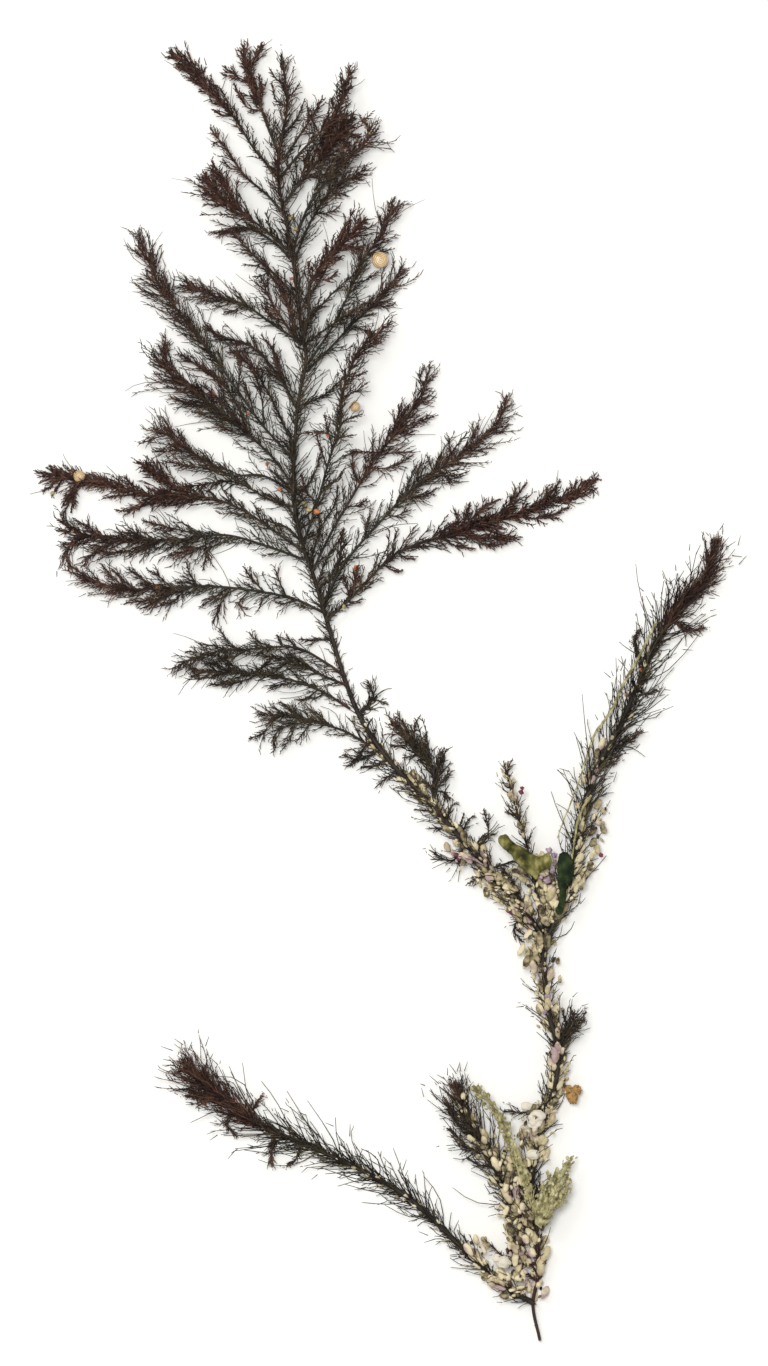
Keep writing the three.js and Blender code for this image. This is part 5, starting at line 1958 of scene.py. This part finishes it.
            Branch((417, 402, 427, 402, 434, 397), [3, 4, 3], 0.2),
            Branch((360, 485, 354, 470, 352, 455), [3, 4, 3], -0.8),
        ],
    ),
    Frond(
        "right_frond_forked",
        [(322, 605), (344, 564), (378, 524), (417, 484), (459, 456), (500, 418), (507, 398)],
        reach=[5, 8, 11, 11, 8, 7], levels=[3, 2.2, 1.6, 1.4, 1.2], tone=Tone.MIDDLE,
        branches=[
            Branch((462, 453, 477, 450, 492, 448), [3, 4, 3], 0.4),
            Branch((430, 476, 450, 476, 467, 472), [3, 4, 3], 0.4),
            Branch((404, 497, 421, 497, 437, 488), [3, 4, 3], 0.4),
            Branch((418, 484, 418, 470, 422, 460), [3, 4, 3], 0.4),
        ],
    ),
    Frond(
        "right_frond_longest",
        [(325, 622), (354, 595), (397, 553), (446, 535), (487, 524), (534, 507), (576, 493), (597, 479)],
        reach=[4.3, 8.6, 11.2, 12, 10.3, 8.6, 6.9], levels=[2.6, 2, 1.4, 0.9, 0.7], tone=Tone.TIP,
        branches=[
            Branch((452, 534, 482, 538, 521, 537), [4, 6, 4], 1),
            Branch((490, 523, 511, 502, 526, 484), [4, 5, 4], 0.8),
            Branch((536, 506, 546, 497, 560, 481), [3, 5, 4], 0.6),
            Branch((460, 530, 479, 511, 499, 499), [4, 5, 4], 1.4),
            Branch((344, 604, 354, 586, 358, 566), [5, 6, 5], 1.4),
        ],
    ),
    Frond(
        "side_frond",
        [(444, 822), (433, 797), (433, 772), (420, 750), (393, 725)],
        reach=[8, 13, 13, 11], levels=[2.6, 2, 1.4, 1.4], tone=Tone.PLAIN,
        branches=[
            Branch((433, 786, 441, 760, 443, 750), [4, 5, 4], 0.8),
            Branch((434, 794, 446, 776, 449, 770), [4, 5, 4], 0.4),
            Branch((414, 742, 416, 722, 420, 716), [3, 3, 2], 0.4),
        ],
    ),
    Frond(
        "right_arm",
        [
            (545, 946), (561, 906), (574, 864), (584, 816), (595, 771), (617, 733), (636, 690),
            (655, 648), (679, 607), (702, 583), (717, 541),
        ],
        reach=[6, 9, 12, 13, 13, 13, 11, 9], levels=[2, 1.9, 1.9, 1.6, 0.9, 0.42, 0.42, 0.6, 1],
        tone=Tone.END, radius=0.8,
        branches=[
            Branch((607, 750, 628, 742, 640, 732), [4, 6, 5], 1),
            Branch((672, 618, 690, 630, 704, 628), [5, 6, 4], 1),
            Branch((645, 668, 634, 640, 640, 630), [4, 5, 4], 1.4),
        ],
    ),
    Frond(
        "thin_twig",
        [(540, 918), (534, 880), (528, 850), (519, 819), (511, 790), (504, 764)],
        reach=[3, 5, 6, 5], levels=[2.6, 2.6, 3, 2.4], tone=Tone.PLAIN,
    ),
    Frond(
        "stub_frond",
        [(534, 1236), (511, 1203), (491, 1156), (467, 1118), (456, 1086)],
        reach=[7, 11, 13, 10], levels=[2.4, 2.2, 2, 1.6], tone=Tone.PLAIN,
        branches=[
            Branch((487, 1150, 470, 1150, 450, 1130), [5, 6, 5], 0.4),
        ],
    ),
    Frond(
        "lower_frond",
        [
            (534, 1304), (504, 1287), (474, 1260), (441, 1228), (406, 1197), (363, 1172), (316, 1150),
            (264, 1128), (220, 1097), (185, 1064),
        ],
        reach=[5, 6, 8, 10, 12, 13, 14, 12], levels=[1.6, 1.7, 1.2, 0.6, 0.4, 0.4, 0.5, 0.9, 1.2],
        tone=Tone.END, radius=0.64,
        branches=[
            Branch((222, 1099, 200, 1098, 187, 1097), [6, 7, 5], 0.8),
            Branch((277, 1133, 272, 1150, 272, 1165), [5, 6, 5], 0.6),
        ],
    ),
]
FINE_BRANCHES: dict[str, list[tuple[int, ...]]] = {
    "main_axis": [
        (287, 97, 291, 95, 299, 85), (300, 332, 316, 312, 334, 292, 352, 276),
        (302, 347, 322, 332, 346, 316, 372, 300), (300, 312, 314, 290, 326, 268, 332, 250),
        (300, 470, 290, 450, 276, 436), (303, 500, 288, 486, 270, 470), (304, 522, 286, 506, 262, 492),
        (306, 544, 288, 528, 266, 520), (309, 565, 320, 530, 334, 505, 338, 486),
        (314, 585, 328, 556, 344, 534), (303, 490, 316, 470, 322, 448), (302, 520, 318, 505, 330, 480),
        (399, 771, 388, 777, 376, 787), (424, 797, 416, 796, 410, 795), (441, 818, 428, 811, 416, 810),
        (447, 822, 453, 805, 458, 804), (458, 835, 461, 822, 464, 815), (462, 838, 467, 822, 474, 816),
        (455, 831, 440, 828, 428, 829), (475, 850, 481, 838, 495, 834), (368, 744, 352, 765, 346, 766),
        (384, 762, 376, 766, 361, 768), (366, 708, 373, 700, 387, 704), (492, 874, 480, 878, 468, 884),
        (557, 1046, 572, 1030, 584, 1020), (557, 1046, 566, 1024, 562, 1010),
        (556, 1050, 570, 1036, 586, 1012), (556, 1040, 574, 1024, 570, 1008),
        (488, 868, 474, 862, 456, 863), (299, 530, 310, 522, 313, 512), (300, 540, 318, 532, 319, 518),
        (318, 590, 332, 575, 338, 560), (486, 862, 500, 888, 512, 900, 524, 918),
        (492, 868, 522, 862, 534, 876, 540, 900), (549, 924, 556, 900, 560, 880, 556, 862),
        (530, 912, 520, 900, 512, 880, 500, 866), (534, 1276, 524, 1250, 520, 1216, 520, 1180, 514, 1156),
        (536, 1284, 516, 1262, 508, 1232, 508, 1200), (536, 1222, 548, 1206, 558, 1192),
        (538, 932, 526, 936, 518, 930),
    ],
    "top_frond": [(262, 112, 260, 91, 259, 75)],
    "left_frond_top": [(232, 116, 222, 116, 214, 110), (204, 84, 196, 82, 186, 76)],
    "left_frond_thin": [(222, 142, 216, 142, 213, 146), (240, 170, 230, 168, 224, 162)],
    "left_frond_short": [(262, 265, 255, 266, 246, 265), (270, 272, 262, 276, 254, 277)],
    "left_frond_inner": [
        (284, 322, 272, 318, 262, 306), (300, 344, 292, 318, 284, 292, 277, 272),
        (297, 334, 288, 304, 274, 280, 262, 262),
    ],
    "left_frond_arch": [
        (215, 296, 205, 288, 197, 287), (200, 292, 190, 286, 186, 280), (243, 304, 235, 310, 224, 312),
    ],
    "left_frond_slim": [
        (252, 347, 238, 352, 226, 352), (282, 381, 268, 372, 256, 368), (284, 384, 276, 356, 262, 336),
        (294, 404, 280, 374, 272, 350),
    ],
    "left_frond_long": [
        (263, 426, 262, 400, 254, 372, 244, 352), (237, 390, 240, 366, 236, 344),
        (148, 261, 140, 256, 133, 250), (156, 279, 152, 268, 152, 255), (176, 308, 170, 294, 164, 277),
        (166, 296, 152, 294, 141, 290), (205, 345, 196, 330, 186, 322), (195, 332, 178, 322, 168, 312),
        (256, 412, 251, 402, 244, 383),
    ],
    "left_frond_broad": [
        (170, 372, 160, 366, 151, 362), (168, 368, 166, 350, 165, 334), (222, 414, 206, 414, 192, 412),
        (204, 398, 192, 386, 178, 376), (260, 446, 244, 428, 230, 412), (250, 436, 232, 432, 216, 424),
        (240, 428, 222, 402, 200, 384),
    ],
    "left_frond_forked": [
        (174, 439, 170, 430, 165, 421), (166, 435, 156, 438, 140, 444), (190, 450, 182, 440, 178, 430),
        (240, 476, 222, 468, 208, 466),
    ],
    "left_frond_longest": [
        (82, 480, 74, 496, 71, 511), (78, 479, 66, 500, 62, 506), (58, 478, 50, 486, 44, 491),
        (64, 479, 56, 488, 52, 495), (62, 479, 56, 472, 54, 466), (130, 490, 118, 496, 104, 498),
        (110, 486, 98, 478, 88, 474), (190, 498, 172, 484, 160, 478), (196, 499, 178, 496, 160, 488),
    ],
    "left_frond_wide": [
        (100, 537, 85, 525, 75, 520), (80, 534, 66, 526, 61, 517), (160, 541, 140, 550, 121, 552),
        (206, 540, 206, 555, 203, 569), (120, 541, 106, 546, 90, 545), (150, 540, 136, 534, 120, 532),
        (86, 536, 74, 542, 62, 545),
    ],
    "left_frond_low": [
        (287, 598, 279, 581, 275, 569), (155, 587, 137, 575, 127, 569), (136, 588, 121, 579, 112, 570),
        (170, 587, 157, 575, 148, 570), (228, 589, 211, 600, 201, 606), (250, 591, 239, 604, 248, 609),
        (296, 600, 282, 604, 275, 602), (132, 589, 118, 592, 106, 594), (172, 588, 160, 600, 142, 608),
        (186, 588, 175, 600, 156, 607), (99, 583, 84, 580, 74, 574),
    ],
    "lower_left_frond_upper": [
        (226, 652, 214, 646, 201, 644), (284, 647, 280, 640, 277, 636), (296, 648, 291, 642, 286, 635),
        (250, 650, 236, 656, 222, 660), (206, 654, 194, 652, 186, 652),
    ],
    "lower_left_frond_middle": [(310, 669, 296, 658, 286, 654), (290, 662, 278, 668, 270, 668)],
    "lower_left_frond_lower": [
        (246, 673, 229, 663, 219, 656), (304, 684, 286, 684, 271, 687), (326, 694, 316, 698, 308, 698),
        (255, 674, 262, 668, 272, 658), (212, 672, 200, 678, 190, 668), (232, 672, 216, 664, 204, 664),
    ],
    "lowest_left_frond": [
        (296, 718, 290, 738, 282, 750), (310, 722, 303, 733, 297, 741), (280, 715, 261, 734, 249, 739),
        (330, 727, 318, 714, 308, 710),
    ],
    "right_frond_top": [(338, 112, 333, 108, 332, 100), (318, 135, 310, 118, 308, 108)],
    "right_frond_clump": [
        (338, 140, 346, 144, 352, 152), (320, 160, 338, 160, 348, 150), (306, 175, 322, 178, 334, 170),
        (322, 156, 322, 138, 330, 124), (300, 186, 304, 168, 308, 150), (312, 168, 330, 168, 342, 162),
    ],
    "right_frond_outer": [(368, 141, 369, 130, 360, 118), (344, 163, 342, 150, 348, 140)],
    "right_frond_inner": [(334, 189, 342, 194, 347, 196), (314, 214, 330, 212, 340, 206)],
    "right_frond_dense": [
        (320, 267, 327, 257, 326, 244), (312, 280, 309, 272, 310, 262), (314, 282, 327, 280, 337, 273),
        (340, 246, 352, 250, 364, 246), (330, 256, 340, 238, 346, 226),
    ],
    "right_frond_amber": [
        (389, 214, 396, 208, 399, 202), (387, 222, 394, 216, 399, 209), (385, 228, 380, 220, 378, 214),
        (352, 284, 366, 280, 378, 272), (334, 324, 344, 316, 352, 314),
    ],
    "right_frond_spread": [(374, 304, 384, 306, 392, 305), (350, 326, 364, 330, 378, 342)],
    "right_frond_upright": [
        (350, 378, 358, 376, 366, 372), (339, 440, 346, 437, 352, 435), (326, 468, 321, 450, 317, 436),
        (336, 440, 322, 432, 304, 434), (356, 356, 366, 350, 382, 340), (322, 490, 334, 482, 344, 470),
        (318, 505, 306, 492, 302, 476),
    ],
    "right_frond_knobbly": [
        (405, 420, 404, 412, 407, 406), (398, 432, 406, 434, 413, 431), (380, 452, 360, 452, 343, 456),
        (426, 384, 420, 378, 424, 368), (345, 507, 356, 506, 366, 500),
    ],
    "right_frond_forked": [
        (400, 500, 414, 497, 428, 493), (432, 474, 430, 464, 427, 456), (436, 472, 438, 462, 441, 453),
        (440, 470, 446, 478, 452, 482), (452, 462, 450, 450, 449, 439), (470, 446, 474, 436, 478, 426),
        (488, 430, 500, 432, 506, 426), (386, 514, 396, 516, 408, 510), (366, 538, 366, 526, 370, 514),
    ],
    "right_frond_longest": [
        (460, 531, 466, 514, 470, 503), (568, 496, 574, 486, 576, 480), (510, 516, 540, 518, 569, 507),
        (450, 533, 458, 519, 454, 510), (384, 564, 392, 570, 402, 571), (398, 553, 406, 558, 414, 559),
        (350, 598, 347, 586, 343, 576), (346, 602, 354, 602, 362, 599), (440, 537, 456, 546, 474, 548),
        (430, 540, 446, 528, 458, 520), (470, 529, 484, 544, 504, 544), (590, 484, 592, 490, 584, 496),
    ],
    "side_frond": [
        (432, 786, 420, 782, 408, 784), (432, 766, 424, 752, 426, 738), (428, 760, 416, 756, 404, 758),
        (434, 790, 444, 792, 450, 800), (412, 740, 404, 746, 392, 746),
    ],
    "right_arm": [(600, 768, 612, 764, 620, 756), (640, 692, 648, 694, 656, 690)],
    "thin_twig": [(507, 776, 508, 768, 512, 760), (519, 819, 512, 814, 506, 812)],
    "stub_frond": [
        (478, 1136, 462, 1128, 448, 1110), (470, 1120, 458, 1116, 444, 1098),
        (496, 1166, 480, 1166, 468, 1158),
    ],
    "lower_frond": [
        (236, 1108, 226, 1124, 236, 1136), (196, 1078, 192, 1090, 206, 1106),
        (210, 1088, 204, 1072, 206, 1064), (246, 1116, 256, 1104, 262, 1096),
        (190, 1070, 180, 1072, 172, 1074), (300, 1146, 296, 1160, 288, 1166),
    ],
}
CRUSTS = [
    Crust(
        "crust_upper", "main_axis", (470, 848), (404, 777), 1.7, 3,
        [[(452, 842), (466, 862)]],
        spacing=0.7,
    ),
    Crust(
        "crust_fork", "main_axis", (544, 945), (474, 852), 2.5, 4,
        [
            [(478, 868), (496, 888), (512, 902), (528, 924)],
            [(510, 872), (526, 884), (536, 900), (541, 922)],
            [(520, 856), (534, 870), (546, 880), (549, 906)],
            [(556, 918), (548, 900), (552, 878), (552, 862)],
        ],
    ),
    Crust("crust_neck", "main_axis", (549, 1010), (542, 944), 2.7, 5, [[(534, 936), (532, 966)]]),
    Crust("crust_middle", "main_axis", (557, 1056), (548, 1004), 2.4, 6),
    Crust(
        "crust_lower", "main_axis", (535, 1160), (557, 1054), 2.5, 7,
        [[(540, 1108), (530, 1128), (526, 1150)]],
        [(537, 1117, 1.7), (534, 1124, 1.3), (533, 1154, 1.3), (526, 1106, 1.1)],
    ),
    Crust(
        "crust_base", "main_axis", (537, 1298), (533, 1200), 2.2, 8,
        [
            [(522, 1160), (520, 1190), (522, 1226), (524, 1262)],
            [(510, 1200), (510, 1226), (516, 1250), (520, 1280)], [(524, 1284), (508, 1286), (498, 1272)],
        ],
    ),
    Crust(
        "crust_stub", "stub_frond", (512, 1206), (482, 1132), 2.5, 9,
        [[(500, 1150), (512, 1172), (512, 1200)]],
    ),
    Crust(
        "crust_arm_low", "right_arm", (558, 914), (574, 864), 2.3, 10,
        [[(584, 862), (578, 880), (568, 898)]],
    ),
    Crust(
        "crust_arm_high", "right_arm", (576, 866), (604, 744), 1.8, 11,
        [[(600, 806), (597, 830), (588, 856)]],
        knob=0.62, spacing=1.1,
    ),
    Crust(
        "crust_frond_base", "lower_frond", (520, 1294), (466, 1252), 1.9, 12,
        [[(478, 1240), (484, 1250)]],
        [(504, 1262, 1.5), (497, 1258, 1.0)],
    ),
    Crust("crust_twig", "thin_twig", (523, 832), (504, 766), 0.95, 13, knob=0.55, spacing=0.9),
    Crust(
        "crust_specks_arm", "right_arm", (606, 742), (650, 650), 1.7, 21,
        knob=0.4, spacing=1.3, in_cad=False,
    ),
    Crust(
        "crust_specks_frond", "lower_frond", (464, 1250), (330, 1148), 1.7, 22,
        knob=0.38, spacing=1.3, in_cad=False,
    ),
    Crust(
        "crust_specks_axis", "main_axis", (402, 775), (360, 716), 1.6, 23,
        knob=0.5, spacing=1.0, in_cad=False,
    ),
    Crust(
        "crust_specks_stub", "stub_frond", (482, 1132), (464, 1100), 1.6, 24,
        knob=0.5, spacing=0.8, in_cad=False,
    ),
]
BLADES = [
    Blade(
        "olive_blade",
        [
            (500, 846), (498, 838), (505, 834), (513, 842), (524, 848), (531, 854), (541, 856), (548, 852),
            (552, 860), (548, 868), (540, 872), (536, 879), (529, 873), (520, 865), (511, 855),
        ],
        4.4,
        BladeFinish("olive blade", "#25260f", "#66622e", "#a59c62"),
        "olive_blade",
    ),
    Blade(
        "dark_green_blade",
        [
            (559, 853), (566, 852), (573, 862), (572, 878), (567, 888), (565, 902), (561, 914), (555, 912),
            (559, 898), (558, 884), (557, 866),
        ],
        5.2,
        BladeFinish("dark green blade", "#0a150a", "#17280f", "#3c4524"),
        "green_blade",
    ),
]
STRANDS = [
    Strand(
        "yellow_green_mass",
        [
            (
                [(541, 1222), (534, 1204), (527, 1184), (517, 1158), (507, 1134), (494, 1110), (474, 1086)],
                [5.6, 5.8, 5.4, 5.2, 5, 4.6, 4],
            ),
            ([(541, 1218), (552, 1194), (562, 1172), (571, 1157)], [5.9, 4.8, 3.6]),
            ([(541, 1218), (552, 1206), (564, 1196), (567, 1180)], [5.9, 4.9, 3.8]),
            ([(541, 1218), (544, 1196), (552, 1172)], [5.9, 5.2, 4.8]),
            ([(538, 1222), (548, 1214), (553, 1196), (556, 1182)], [5.6, 5.4, 5.0]),
        ],
        14,
        0.65,
        0.24,
        1.6,
        knobbly=True,
    ),
    Strand(
        "pale_thread",
        [
            (
                [
                    (656, 622), (640, 655), (624, 684), (612, 710), (594, 736), (586, 760), (577, 786),
                    (566, 814), (557, 838),
                ],
                [3.2, 3.4, 3.6, 4, 4.6, 4.8],
            ),
            ([(591, 795), (583, 808), (577, 822), (575, 836), (573, 850), (571, 863)], [5.2, 5.4, 5.5]),
        ],
        2,
        0.2,
        0.3,
    ),
]
SHELLS = [
    Shell("amber_shell_right", (380, 260), 3.9, 1.8, 1.1),
    Shell("amber_shell_left", (79, 476), 1.7, 1.3, 0.9),
    Shell("amber_shell_middle", (355, 407), 5.0, 1.15, 0.9),
]
SPONGE = Sponge([(571, 1095), (577, 1090), (573, 1099), (568, 1090)])
GRAINS = [
    Grains(
        "orange_grains",
        [
            (317, 512, 0.65), (356, 568, 0.6), (267, 464, 0.42), (280, 489, 0.38), (248, 414, 0.35),
            (214, 394, 0.4), (328, 436, 0.3), (641, 670, 0.45), (627, 695, 0.4), (588, 780, 0.4),
            (530, 930, 0.45), (157, 586, 0.45), (292, 279, 0.35),
        ],
        FleckFinish(),
    ),
    Grains(
        "tan_scraps",
        [
            (292, 218, 0.6), (296, 230, 0.45), (305, 504, 0.65), (309, 510, 0.45), (344, 607, 0.5),
            (364, 122, 0.35), (367, 128, 0.4), (370, 134, 0.35), (258, 46, 0.25), (206, 180, 0.35),
            (508, 842, 0.75), (503, 838, 0.6), (52, 493, 0.4), (72, 531, 0.35),
        ],
        FleckFinish("tan scraps", "#7d6a3c", "#b9a878"),
    ),
    Grains(
        "crimson_scraps",
        [
            (521, 792, 0.5), (522, 788, 0.4), (601, 855, 0.55), (456, 855, 0.45), (458, 859, 0.35),
            (510, 912, 0.35),
        ],
        FleckFinish("crimson scraps", "#4f1428", "#8a3350"),
        2.2,
    ),
    Grains(
        "mauve_scraps",
        [
            (549, 850, 0.65), (554, 855, 0.6), (549, 860, 0.55), (556, 864, 0.6), (552, 871, 0.55),
            (547, 880, 0.7), (551, 887, 0.65), (541, 877, 0.5), (552, 895, 0.5), (547, 996, 0.5),
            (551, 1004, 0.55), (545, 1012, 0.45),
        ],
        FleckFinish("mauve scraps", "#7c6070", "#b79fab"),
        2.0,
    ),
]
TIP_FRONDS = {
    "top_frond", "left_frond_top", "left_frond_thin", "left_frond_clump", "left_frond_inner",
    "left_frond_longest", "right_frond_top_small", "right_frond_top", "right_frond_clump",
    "right_frond_dense", "right_frond_knobbly", "right_frond_longest", "lower_frond",
}
HABITS: dict[str, Habit] = {
    "main_axis": Habit.AXIS,
    "top_frond": Habit.CLUMPED,
    "left_frond_top": Habit.CLUMPED,
    "right_frond_top": Habit.CLUMPED,
    "left_frond_clump": Habit.CLUMPED,
    "right_frond_clump": Habit.CLUMPED,
    "right_frond_dense": Habit.CLUMPED,
    "left_frond_longest": Habit.CLUMPED,
    "right_frond_longest": Habit.CLUMPED,
    "right_arm": Habit.BRUSH,
    "lower_frond": Habit.BRUSH,
    "stub_frond": Habit.BRUSH,
    "side_frond": Habit.CLUMPED,
    "thin_twig": Habit.AXIS,
}


def main() -> None:
    """Builds every piece in order and reports each."""
    logging.basicConfig(level=logging.INFO, format="%(message)s")
    spray = spray_tree(offshoot_tree())
    alga = AlgaFinish().material()
    hosts: dict[str, Line] = {}
    for number, frond in enumerate([AXIS, *FRONDS]):
        hosts[frond.name] = frond.stem()
        frond.build(spray, alga, FIRST_SEED + number * SEED_STEP)
    crust_growth = crust_tree()
    lime = CrustFinish().material()
    for crust in CRUSTS:
        crust.build(hosts, crust_growth, lime)
    for blade in BLADES:
        blade.build()
    threads = thread_tree()
    soft = ThreadFinish().material()
    for strand in STRANDS:
        strand.build(threads, crust_growth, soft)
    amber = ShellFinish().material()
    for shell in SHELLS:
        shell.build(amber)
    SPONGE.build()
    for grains in GRAINS:
        grains.build(hosts)
    Studio().build()


if __name__ == "__main__":
    main()
